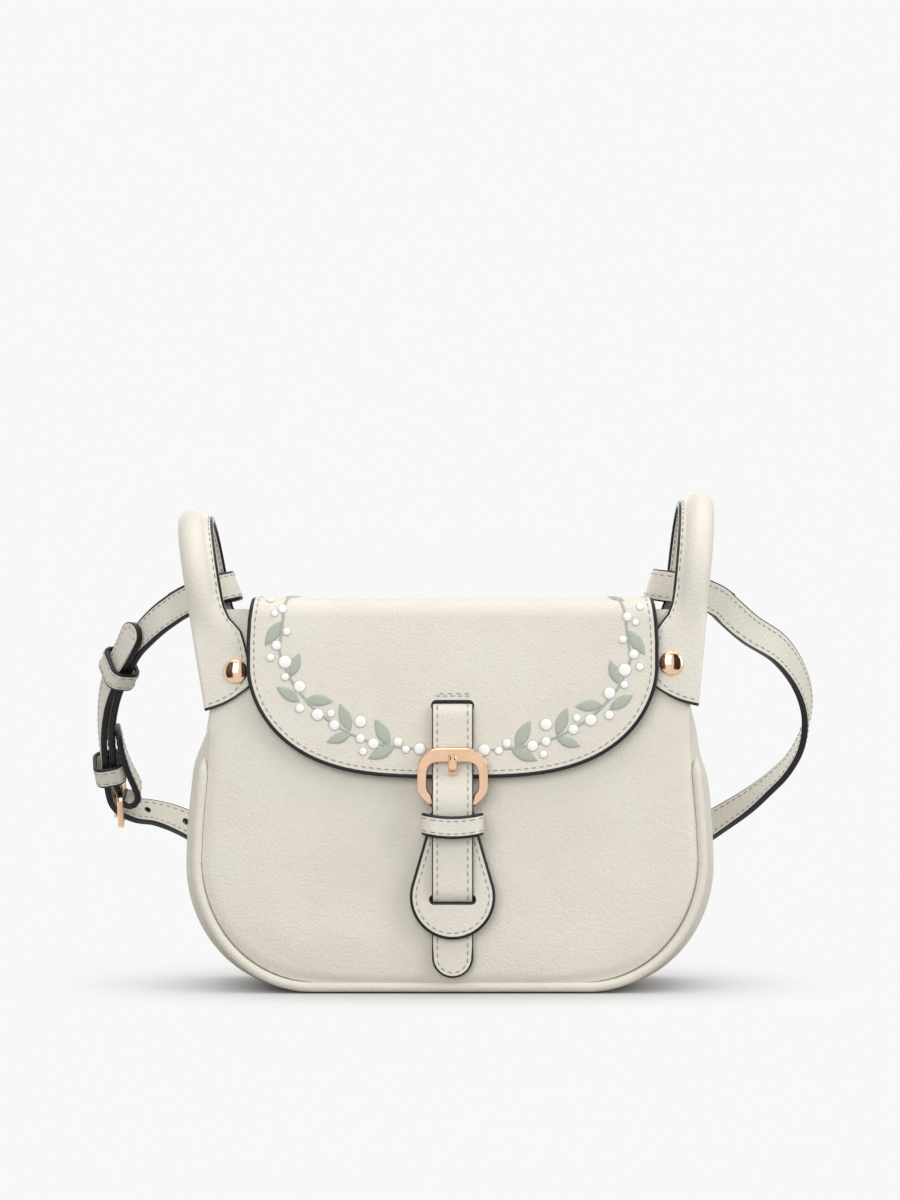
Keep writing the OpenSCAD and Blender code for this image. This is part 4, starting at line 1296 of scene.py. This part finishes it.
def cap_place(side, face):
    inward, up = HANDLE[side]["rivet"]

    def place(u, v):
        p = CAP.point(u * CAP.length)
        z = up + p.x * math.sin(2 * math.pi * v)
        return handle_frame(side, (-inward + p.x * math.cos(2 * math.pi * v),
                                   face * (TAB_Y + 2.1 - z * TAN_L + p.y), z))
    return place


caps = [loft("rivet_cap_disc_%d" % i, 18, 40, cap_place(side, face), close_v=True, material=GOLD)
        for i, (side, face) in enumerate(((-1, -1), (-1, 1), (1, -1), (1, 1)))]
deselect()
for cap in caps:
    cap.select_set(True)
bpy.context.view_layer.objects.active = caps[0]
bpy.ops.object.join()
rivets = bpy.context.object
rivets.name = "rivet_cap_discs"
close_holes(rivets)
smooth(rivets, 45)
keep(rivets, "bag", "gold_metal", "rivet_caps")


# %% [markdown]
# ## The shoulder strap
#
# The strap is flat leather that turns edge-on as it bends round the bag, so it is laid on a line with
# a width direction of its own at every point. Each end runs round the rear leg of a handle and is sewn
# back onto itself.

# %% Laying a strap on its route
STRAP_W, STRAP_T = 12.5, 2.6


class Ribbon:
    """Route points with a width direction, walked by length."""

    def __init__(self, rows):
        self.line = Track([Vector(r[:3]) for r in rows])
        self.wide = curve_points([r[3:] for r in rows])

    def place(self, a, b, up):
        p = self.line.point(b)
        u = self.line.along(b)
        k, t = self.line.find(b)
        w = self.wide[k].lerp(self.wide[k + 1], t)
        w = (w - u * w.dot(u)).normalized()
        n = u.cross(w)
        q = p + w * a + n * up
        extra = min(0.0, b) + max(0.0, b - self.line.length)
        q = q + u * extra
        return (q.x, q.y, q.z)


# %% Routes, as (x, y, z, width direction)
LONG = [
    (112, 31.4, 149.6, 0.22, 0, 1), (107, 34.8, 153, 0.2, 0, 1), (98, 36.4, 156.2, 0.22, 0, 1),
    (90, 35.8, 157.6, 0.28, -0.05, 1), (83, 31.5, 158.6, 0.3, -0.1, 1), (81.2, 26, 158.9, 0.33, -0.15, 1),
    (82.8, 19.5, 158.6, 0.33, -0.2, 1), (89, 15.6, 157.9, 0.33, -0.2, 1),
    (98, 15.8, 156.2, 0.28, -0.15, 1), (107, 20.3, 152.6, 0.26, -0.1, 1),
    (112.4, 26.4, 148.2, 0.28, -0.05, 1), (121.5, 31, 140.5, 0.32, 0.15, 1),
    (134, 39, 132.5, 0.4, 0.45, 0.8), (143, 50, 121, 0.35, 0.7, 0.65), (147.5, 61, 108, 0.25, 0.8, 0.5),
    (146.5, 71, 95, 0.1, 0.8, 0.5), (141.5, 79, 84, 0.1, 0.75, 0.55), (134, 86, 75.5, 0.15, 0.65, 0.65),
    (125, 92, 67.5, 0.2, 0.5, 0.8), (112, 98, 58.5, 0.3, 0.3, 0.9), (95, 103, 47, 0.35, 0.15, 0.9),
    (75, 106, 34, 0.3, 0.05, 1), (55, 108, 22.5, 0.3, 0, 1), (35, 109, 13.5, 0.2, 0, 1),
    (17, 109, 8.5, 0.1, 0, 1), (0, 109, 7, 0, 0, 1), (-17, 109, 8.5, -0.1, 0, 1),
    (-35, 108, 13.5, -0.2, 0, 1), (-55, 107, 23, -0.3, 0, 1), (-75, 105, 35, -0.3, 0.05, 1),
    (-95, 101, 48, -0.35, 0.15, 0.9), (-112, 95, 58.5, -0.25, 0.4, 0.9),
    (-124, 89.5, 63, -0.15, 0.65, 0.7), (-133, 83.2, 64.6, -0.05, 0.8, 0.6),
    (-140.2, 77.8, 69.1, -0.05, 0.87, 0.5), (-142.8, 73.5, 78, -0.1, 0.86, 0.5),
    (-143.6, 68, 89, -0.15, 0.86, 0.5), (-143.6, 61.5, 101, -0.2, 0.85, 0.5),
    (-141.5, 54, 113.5, -0.28, 0.8, 0.5), (-137, 46, 124.5, -0.35, 0.7, 0.55),
    (-131.5, 39, 134, -0.4, 0.6, 0.6), (-127.5, 34.5, 142.5, -0.45, 0.5, 0.65),
]
SHORT = [
    (-111.5, 31.9, 149.5, -0.3, 0.1, 1), (-107, 34.3, 152, -0.33, 0.1, 1),
    (-99, 35.7, 154.8, -0.36, 0.15, 1), (-92.5, 35.2, 157, -0.38, 0.2, 1),
    (-88, 31.8, 158, -0.38, 0.25, 1), (-86.7, 26.3, 158.3, -0.38, 0.25, 1),
    (-88, 20.9, 158, -0.38, 0.25, 1), (-92.5, 17.8, 157, -0.36, 0.2, 1), (-99, 18.2, 155, -0.33, 0.15, 1),
    (-106, 22.4, 152.3, -0.3, 0.1, 1), (-112, 27.7, 148.8, -0.27, 0.15, 0.97),
    (-118, 31.4, 144.5, -0.4, 0.35, 0.85), (-123.5, 36, 139.5, -0.43, 0.5, 0.75),
    (-128.7, 41.1, 133.8, -0.43, 0.64, 0.64), (-134, 47.7, 124.3, -0.33, 0.68, 0.66),
    (-138.2, 55.2, 113.4, -0.27, 0.77, 0.58), (-140.2, 62.2, 101.1, -0.2, 0.84, 0.5),
    (-140.1, 68.4, 89.3, -0.15, 0.88, 0.45), (-139.3, 73.4, 79, -0.09, 0.88, 0.46),
    (-137.6, 75.4, 75.4, -0.05, 0.87, 0.5),
]
CHAPE = [
    (-137.2, 62, 99, -0.15, 0.86, 0.5), (-136.2, 65.5, 92, -0.12, 0.87, 0.5),
    (-134, 69.5, 84, -0.1, 0.87, 0.48), (-131.5, 72.3, 78, -0.07, 0.87, 0.48),
    (-129.9, 74.5, 73.5, -0.05, 0.87, 0.5), (-130.8, 76, 70.4, -0.05, 0.87, 0.5),
    (-133.6, 76.8, 69.3, -0.05, 0.87, 0.5), (-136.6, 76.4, 70.6, -0.05, 0.87, 0.5),
]
long_ribbon = Ribbon(LONG)
short_ribbon = Ribbon(SHORT)
chape_ribbon = Ribbon(CHAPE)
print("strap lengths", round(long_ribbon.line.length), round(short_ribbon.line.length))


# %% Straps
def strap_piece(name, ribbon, length, round_end, body, node_name, holes=()):
    w = STRAP_W / 2
    end = (arc(0, length - w, w, w, 0, 180, 20) if round_end else [(w, length), (-w, length)])
    outline = [(-w, 0), (w, 0)] + end
    piece = flat_piece(name, outline, STRAP_T, 0.9, rows=frange(0, length, 2.0), holes=holes)
    lay(piece, lambda a, b, up: ribbon.place(a, b, up - STRAP_T / 2), 50)
    keep(piece, body, "leather", node_name)
    rows = []
    for face in (1, -1):
        lines = [([(x, 3.0), (x, length - (w if round_end else 1.0))], False) for x in (2.0 - w, w - 2.0)]
        lines += [([(2.0 - w, y), (w - 2.0, y)], False) for y in (2.4, 8.4)]
        if round_end:
            lines.append((arc(0, length - w, w - 2.0, w - 2.0, 0, 180, 12), False))
        rows.append((face, lines))
    for face, lines in rows:
        sew("%s_stitches_%s" % (name, "outer" if face > 0 else "inner"), lines,
            lambda a, b, up, f=face: ribbon.place(a, b, f * (up + STRAP_T / 2)), body)
    return piece


long_length = long_ribbon.line.length
holes = [arc(0, long_length - d, 1.1, 1.1, 0, 330, 11) for d in (88, 106, 124, 142)]
strap_piece("long_strap_leather", long_ribbon, long_length, True, "shoulder_strap",
            "shoulder_strap_long", holes)
strap_piece("short_strap_leather", short_ribbon, short_ribbon.line.length, False, "shoulder_strap",
            "shoulder_strap_short")
strap_piece("strap_chape_leather", chape_ribbon, chape_ribbon.line.length, False, "shoulder_strap", None)


# %% [markdown]
# Two bands hold the long strap's loose end against the short one. Each is wrapped like the closure's
# keeper, and stands across the strap at a row of its route.

# %% Strap keepers
def strap_keeper(name, row, on, inward, body, node_name):
    a, b, c = LONG[row - 1], LONG[row], LONG[row + 1]
    d = LONG[min(row + 2, len(LONG) - 1)]
    mid = [catmull(a[j], b[j], c[j], d[j], on) for j in range(6)]
    here = Vector(mid[:3])
    start = LONG[row - 1 + round(on)]
    along = (Vector(c[:3]) - Vector(start[:3])).normalized()
    wide = Vector(mid[3:])
    wide = (wide - along * wide.dot(along)).normalized()
    inner = wide.cross(along)
    at = here + inward * inner
    wrapped_band(name, 4.5, 7.3, 2.6, 8.8, 1.8,
                 lambda x, y, s: at + x * inner + y * wide + s * along, body, node_name)


KEEPER_ROW = len(LONG) - 33
strap_keeper("upper_keeper_leather", 30 + KEEPER_ROW, 0.0, 1.75, "strap_keeper", "strap_upper_keeper")
strap_keeper("lower_keeper_leather", 26 + KEEPER_ROW, 0.4, 1.75, "shoulder_strap", "strap_lower_keeper")

# %% [markdown]
# The strap's buckle is a plain cast frame with a round bar and one prong. It reuses the three helpers of
# the closure's buckle, in a frame of its own that is turned by 30 degrees.

# %% Strap buckle
BUCKLE_AT = Vector((-137, 79.5, 68))
C30, S30 = math.cos(math.radians(30)), math.sin(math.radians(30))
STRAP_FRAME_L, STRAP_RAIL = 15.5, 2.3


def on_strap_buckle(x, y, z):
    return BUCKLE_AT + Vector((x, y * C30 - z * S30, y * S30 + z * C30))


half_in = (STRAP_W + 1.6) / 2
half_out = half_in + STRAP_RAIL
half_long = STRAP_FRAME_L / 2
cast_frame("strap_buckle_cast", round_box(-half_out, -half_long, half_out, half_long, 2.6),
           [round_box(-half_in, -half_long + STRAP_RAIL, half_in, half_long - 0.9, 1.0)],
           2.6, 0.7, lambda a, b, up: on_strap_buckle(up - 1.3, a, b), "shoulder_strap", "strap_buckle_frame")
BAR_UP = STRAP_FRAME_L / 2 - STRAP_RAIL / 2
bar_piece("strap_buckle_pin", 7.7, 0.95, lambda x, p, q: on_strap_buckle(p, x, BAR_UP + q), "shoulder_strap",
          "strap_buckle_bar")
prong_piece("strap_prong_cast",
            [(BAR_UP + 1.3, 0.9), (BAR_UP - 1.0, 1.2), (2.0, 1.8), (-2.5, 2.5), (-BAR_UP - 0.9, 3.0)],
            1.1, 0.75, lambda x, z, out: on_strap_buckle(-out, x, z), "strap_prong", "strap_prong")


# %% [markdown]
# ## The garland
#
# A stem of split stitches runs in from each upper corner of the flap, down its side and along the
# lower edge to the buckle. Satin-stitched leaves stand to both sides and small padded berries sit
# beside the stem. Leaf and berry are each modelled once as a low mound, the leaf with a rib. Their
# places on one half were measured on the photo. The other half is its mirror image, moved and
# stretched a little. Only the turn of each berry is drawn at random.

# %% Embroidery threads
def make_satin(name, dark, light, scale, relief):
    mat, shader = new_material(name, light, 0.42, sheen=0.35, spec=0.5)
    place = coordinates(mat)
    strands = node(mat, "ShaderNodeTexWave", Scale=scale, Distortion=1.6, Detail=2.0)
    strands.bands_direction = "DIAGONAL"
    link(mat, place, "Object", strands, "Vector")
    tone(mat, shader, (strands, "Fac"), 0.1, 0.8, dark, light)
    bump(mat, shader, [(strands, "Fac", relief, 0.0003)])
    return mat


SAGE = make_satin("sage_thread", (0.36, 0.41, 0.34), (0.56, 0.60, 0.52), 900.0, 0.6)
WHITE = make_satin("silver_white_thread", (0.88, 0.88, 0.87), (1.0, 1.0, 0.99), 900.0, 0.3)
OUTLINE_THREAD = make_thread("grey_outline_thread", (0.44, 0.455, 0.41), (0.57, 0.58, 0.53))


# %% One leaf and one berry
def mound(segments, rings, height):
    """A low dome of unit radius."""
    deselect()
    bpy.ops.mesh.primitive_uv_sphere_add(segments=segments, ring_count=rings, radius=1)
    obj = bpy.context.object
    edit_all(obj)
    bpy.ops.mesh.bisect(plane_co=(0, 0, 0), plane_no=(0, 0, 1), clear_inner=True, use_fill=True)
    object_mode()
    points = [Vector((v.co.x, v.co.y, v.co.z * height)) for v in obj.data.vertices]
    faces = [tuple(f.vertices) for f in obj.data.polygons]
    bpy.data.objects.remove(obj, do_unlink=True)
    return points, faces


DOME = mound(24, 12, 1.0)


def leaf_points(length, width, height):
    out = []
    for p in DOME[0]:
        t = (p.x + 1) / 2
        shape = math.sin(math.pi * t) ** 0.85 * (1 - 0.25 * t)
        y = p.y / max(math.sqrt(max(1 - p.x * p.x, 1e-6)), 1e-3)
        rib = 1 - 0.35 * math.exp(-(y / 0.12) ** 2)
        out.append(Vector((p.x * length / 2, y * width / 2 * shape, p.z * height * rib)))
    return out, DOME[1]


LEAF = leaf_points(9.8, 4.6, 0.6)
LEAF_RIM = leaf_points(10.3, 5.1, 0.16)
BERRY = ([Vector((p.x, p.y, p.z * 0.45)) for p in DOME[0]], DOME[1])
BERRY_RIM = ([Vector((p.x * 1.11, p.y * 1.11, p.z * 0.15)) for p in DOME[0]], DOME[1])

# %% One half of the garland, across from the flap's middle and up the flap
STEM = Track([Vector(p) for p in ((60.3, 164.3), (65, 151.7), (65.8, 145.2), (66.8, 137.4), (67.2, 132.5),
                                  (65.2, 126.9), (63, 121.9), (59.7, 117.2), (55.6, 112.2), (50.2, 107.4),
                                  (45.4, 104), (39.4, 100.6), (32, 97.5), (24.7, 95.9), (18.6, 95.1),
                                  (11.9, 94.6))])
LEAVES = [(65, 155.8, 58.8, 160.6), (66.9, 143.6, 72.7, 134.7), (62.6, 122.7, 59.5, 131.6),
          (59.5, 113, 68.1, 118.4), (56.6, 113.7, 46.4, 113), (39.4, 101.7, 43.3, 111.8),
          (39.4, 100.2, 48.3, 97.2), (23.9, 95.9, 29.3, 106), (22.3, 95.1, 32, 90.9)]
BERRIES = [(69.2, 147.1, 1.2), (66.1, 149, 1.6), (64.4, 140.1, 1.4), (68.5, 134.7, 1.7), (70.8, 130, 1.4),
           (65.1, 128.3, 2.3), (65, 122.5, 1.4), (59.3, 118.8, 2.1), (59.2, 110.3, 1.6), (52.2, 107.9, 2.1),
           (46.9, 108.3, 1.4), (45.6, 103.8, 1.8), (35.3, 105.2, 2.1), (35.3, 98.6, 1.6), (30.2, 96.7, 1.9),
           (34.3, 93.6, 1.4), (20.5, 97.3, 1.6), (17.4, 94.4, 1.4), (11.9, 94.6, 2.1), (71, 153.5, 1.3)]


def settle(sign, x, y):
    """The half on the right sits a little lower and farther out than the left one."""
    if sign > 0:
        return x * 1.026 + 1.0, y - 0.5 - 2.8 * (x / 65) ** 2
    return -x * 0.984, y - 0.2


def garland(sign):
    stem, leaves, berries = [], [], []
    for i in range(int(STEM.length / 1.5)):
        s = (i + 0.5) * 1.5
        p, d = STEM.point(s), STEM.along(s)
        x, y = settle(sign, p.x, p.y)
        stem.append((x, y, math.atan2(d.y, sign * d.x)))
    for x0, y0, x1, y1 in LEAVES:
        turn = math.atan2(y1 - y0, sign * (x1 - x0))
        x, y = settle(sign, (x0 + x1) / 2, (y0 + y1) / 2)
        leaves.append((x, y, turn, math.hypot(x1 - x0, y1 - y0) / 9.6))
    for x, y, r in BERRIES:
        berries.append((*settle(sign, x, y), random.uniform(0, 6), r * 1.06))
    return stem, leaves, berries


def embroider(name, grain, spots, material, lift=0.0):
    obj = repeat(name, grain, spots, lambda a, b, up: on_flap(a - FLAP_X, b, up + lift + FLAP_T), material)
    return keep(obj, "flap", "leather")


STEM_STITCH = one_stitch(2.6, 1.25, 0.34)
both = [garland(1), garland(-1)]
embroider("garland_stem", STEM_STITCH, both[0][0] + both[1][0], SAGE)
embroider("garland_leaf_outlines", LEAF_RIM, both[0][1] + both[1][1], OUTLINE_THREAD)
embroider("garland_leaves", LEAF, both[0][1] + both[1][1], SAGE, 0.05)
ribs = [(x, y, turn, size) for half_spots in both for x, y, turn, size in half_spots[1]]
embroider("garland_leaf_ribs", one_stitch(7.6, 0.5, 0.3), ribs, OUTLINE_THREAD, 0.32)
embroider("garland_berry_outlines", BERRY_RIM, both[0][2] + both[1][2], OUTLINE_THREAD, 0.2)
embroider("garland_berries", BERRY, both[0][2] + both[1][2], WHITE, 0.25)

# %% [markdown]
# ## Floor, light and camera
#
# A pale floor fades out into the background, so no horizon shows, and it keeps the soft shadow. Its
# glow is darkened by ambient occlusion close to the bag, which is a painted contact shadow. Large soft lamps
# stand above and in front, as in a plain product studio. The camera stands level, one and a half
# metres in front of the bag, with a long lens.

# %% Floor
FLOOR_RADIUS = 1.6
FLOOR_GAP = 0.0003
FADE_START, FADE_END = 0.05, 0.15
BACKDROP = (0.939, 0.939, 0.939, 1)


def operation_node(owner, kind, operation):
    made = node(owner, kind)
    made.operation = operation
    return made


deselect()
bpy.ops.mesh.primitive_circle_add(vertices=96, radius=FLOOR_RADIUS, fill_type="NGON",
                                  location=(0, 0, -FLOOR_GAP))
floor = bpy.context.object
floor.name = "studio_floor"
floor_mat = bpy.data.materials.new("pale_floor")
floor_mat.use_nodes = True
floor_mat.node_tree.nodes.clear()
out = node(floor_mat, "ShaderNodeOutputMaterial")
diffuse = node(floor_mat, "ShaderNodeBsdfDiffuse")
tint = node(floor_mat, "ShaderNodeMix")
tint.data_type = "RGBA"
tint.inputs[6].default_value = (0.42, 0.40, 0.38, 1)
tint.inputs[7].default_value = (0.87, 0.85, 0.835, 1)
clear = node(floor_mat, "ShaderNodeBsdfTransparent")
place = coordinates(floor_mat)
squeeze = operation_node(floor_mat, "ShaderNodeVectorMath", "MULTIPLY")
squeeze.inputs[1].default_value = (0.75, 1.0, 1.0)
size = operation_node(floor_mat, "ShaderNodeVectorMath", "LENGTH")
fade = node(floor_mat, "ShaderNodeMapRange", From_Min=FADE_START, From_Max=FADE_END)
fade.interpolation_type = "SMOOTHSTEP"
mix = node(floor_mat, "ShaderNodeMixShader")
glow = node(floor_mat, "ShaderNodeEmission", Color=BACKDROP)
# Painted contact shadow: ambient occlusion darkens the floor's glow close to the bag.
near = node(floor_mat, "ShaderNodeAmbientOcclusion", Distance=0.06)
near.samples = 12
surface = node(floor_mat, "ShaderNodeMixShader")
rays = node(floor_mat, "ShaderNodeLightPath")
share = operation_node(floor_mat, "ShaderNodeMath", "MULTIPLY")
share.inputs[1].default_value = 0.6
for source, output, target, entry in (
        (near, "AO", glow, "Strength"),
        (tint, 2, diffuse, "Color"),
        (rays, "Is Camera Ray", share, 0),
        (rays, "Is Camera Ray", tint, 0),
        (share, 0, surface, "Fac"),
        (diffuse, 0, surface, 1),
        (glow, 0, surface, 2),
        (place, "Object", squeeze, 0),
        (squeeze, 0, size, 0),
        (size, "Value", fade, "Value"),
        (fade, "Result", mix, "Fac"),
        (surface, 0, mix, 1),
        (clear, 0, mix, 2),
        (mix, 0, out, "Surface")):
    link(floor_mat, source, output, target, entry)
floor.data.materials.append(floor_mat)
print("floor radius", FLOOR_RADIUS)

# %% World: pale for the camera and for reflections, plain soft fill for the rest
FILL_STRENGTH = 0.42
world = bpy.data.worlds.new("studio")
bpy.context.scene.world = world
world.use_nodes = True
world.node_tree.nodes.clear()
out = node(world, "ShaderNodeOutputWorld")
fill = node(world, "ShaderNodeBackground", Color=(1.0, 0.99, 0.975, 1), Strength=FILL_STRENGTH)
shown = node(world, "ShaderNodeBackground", Color=BACKDROP, Strength=1.0)
rays = node(world, "ShaderNodeLightPath")
seen = operation_node(world, "ShaderNodeMath", "MAXIMUM")
glossy = operation_node(world, "ShaderNodeMath", "MAXIMUM")
mix = node(world, "ShaderNodeMixShader")
for source, output, target, entry in (
        (rays, "Is Camera Ray", seen, 0),
        (rays, "Is Transmission Ray", seen, 1),
        (seen, 0, glossy, 0),
        (rays, "Is Glossy Ray", glossy, 1),
        (glossy, 0, mix, "Fac"),
        (fill, 0, mix, 1),
        (shown, 0, mix, 2),
        (mix, 0, out, "Surface")):
    link(world, source, output, target, entry)
print("world fill", FILL_STRENGTH)


# %% [markdown]
# Four soft boxes light the bag: one from above, one from the front, one from the right and one from
# behind. Area lamps are used because a large lamp gives the soft edge that the shadow has in the photo.

# %% Lamps
def lamp(name, energy, size, at, target, color=(1, 1, 1)):
    deselect()
    bpy.ops.object.light_add(type="AREA", location=at)
    light = bpy.context.object
    light.name = name
    light.data.energy = energy
    light.data.shape = "RECTANGLE"
    light.data.size, light.data.size_y = size
    light.data.color = color
    light.rotation_euler = (Vector(target) - Vector(at)).to_track_quat("-Z", "Y").to_euler()
    return light


lamp("top_softbox", 7.0, (1.3, 1.0), (0.05, -0.12, 1.25), (0, 0, 0.08), (1, 0.995, 0.98))
lamp("front_softbox", 11.6, (1.2, 1.0), (-0.45, -1.42, 0.65), (0, 0, 0.08), (1, 0.99, 0.97))
lamp("side_softbox", 7.4, (0.7, 1.0), (1.15, -0.6, 0.5), (0, 0, 0.08))
lamp("rear_softbox", 5.5, (1.2, 0.8), (-0.2, 1.35, 0.5), (0, 0, 0.08))

# %% [markdown]
# Polished metal needs something dark to reflect, as in a studio, where black cards stand to both sides
# of the camera. Here two cards are seen by reflections alone and throw no shadow.

# %% Dark cards for the reflections
CARD_X, CARD_Y, CARD_Z = 0.62, -1.03, 0.45
CARD_TURN = math.radians(31)
card_mat, shader = new_material("dark_card", (0.03, 0.026, 0.024), 0.9)
for side in (-1, 1):
    deselect()
    bpy.ops.mesh.primitive_plane_add(size=1, location=(side * CARD_X, CARD_Y, CARD_Z),
                                     rotation=(math.radians(90), 0, side * CARD_TURN))
    card = bpy.context.object
    card.name = "dark_card_left" if side < 0 else "dark_card_right"
    card.scale = (0.6, 1.5, 1)
    card.data.materials.append(card_mat)
    card.visible_camera = False
    card.visible_diffuse = False
    card.visible_shadow = False

# %% Camera
CAMERA_DISTANCE = 1.536
CAMERA_HEIGHT = 0.1525
LENS_MM = 116.0
deselect()
bpy.ops.object.camera_add(location=(0, -CAMERA_DISTANCE, CAMERA_HEIGHT), rotation=(math.radians(90), 0, 0))
camera = bpy.context.object
camera.name = "studio_camera"
camera.data.lens = LENS_MM
camera.data.sensor_width = 36.0
camera.data.clip_start = 0.05
bpy.context.scene.camera = camera
bpy.context.scene.view_settings.view_transform = "Standard"
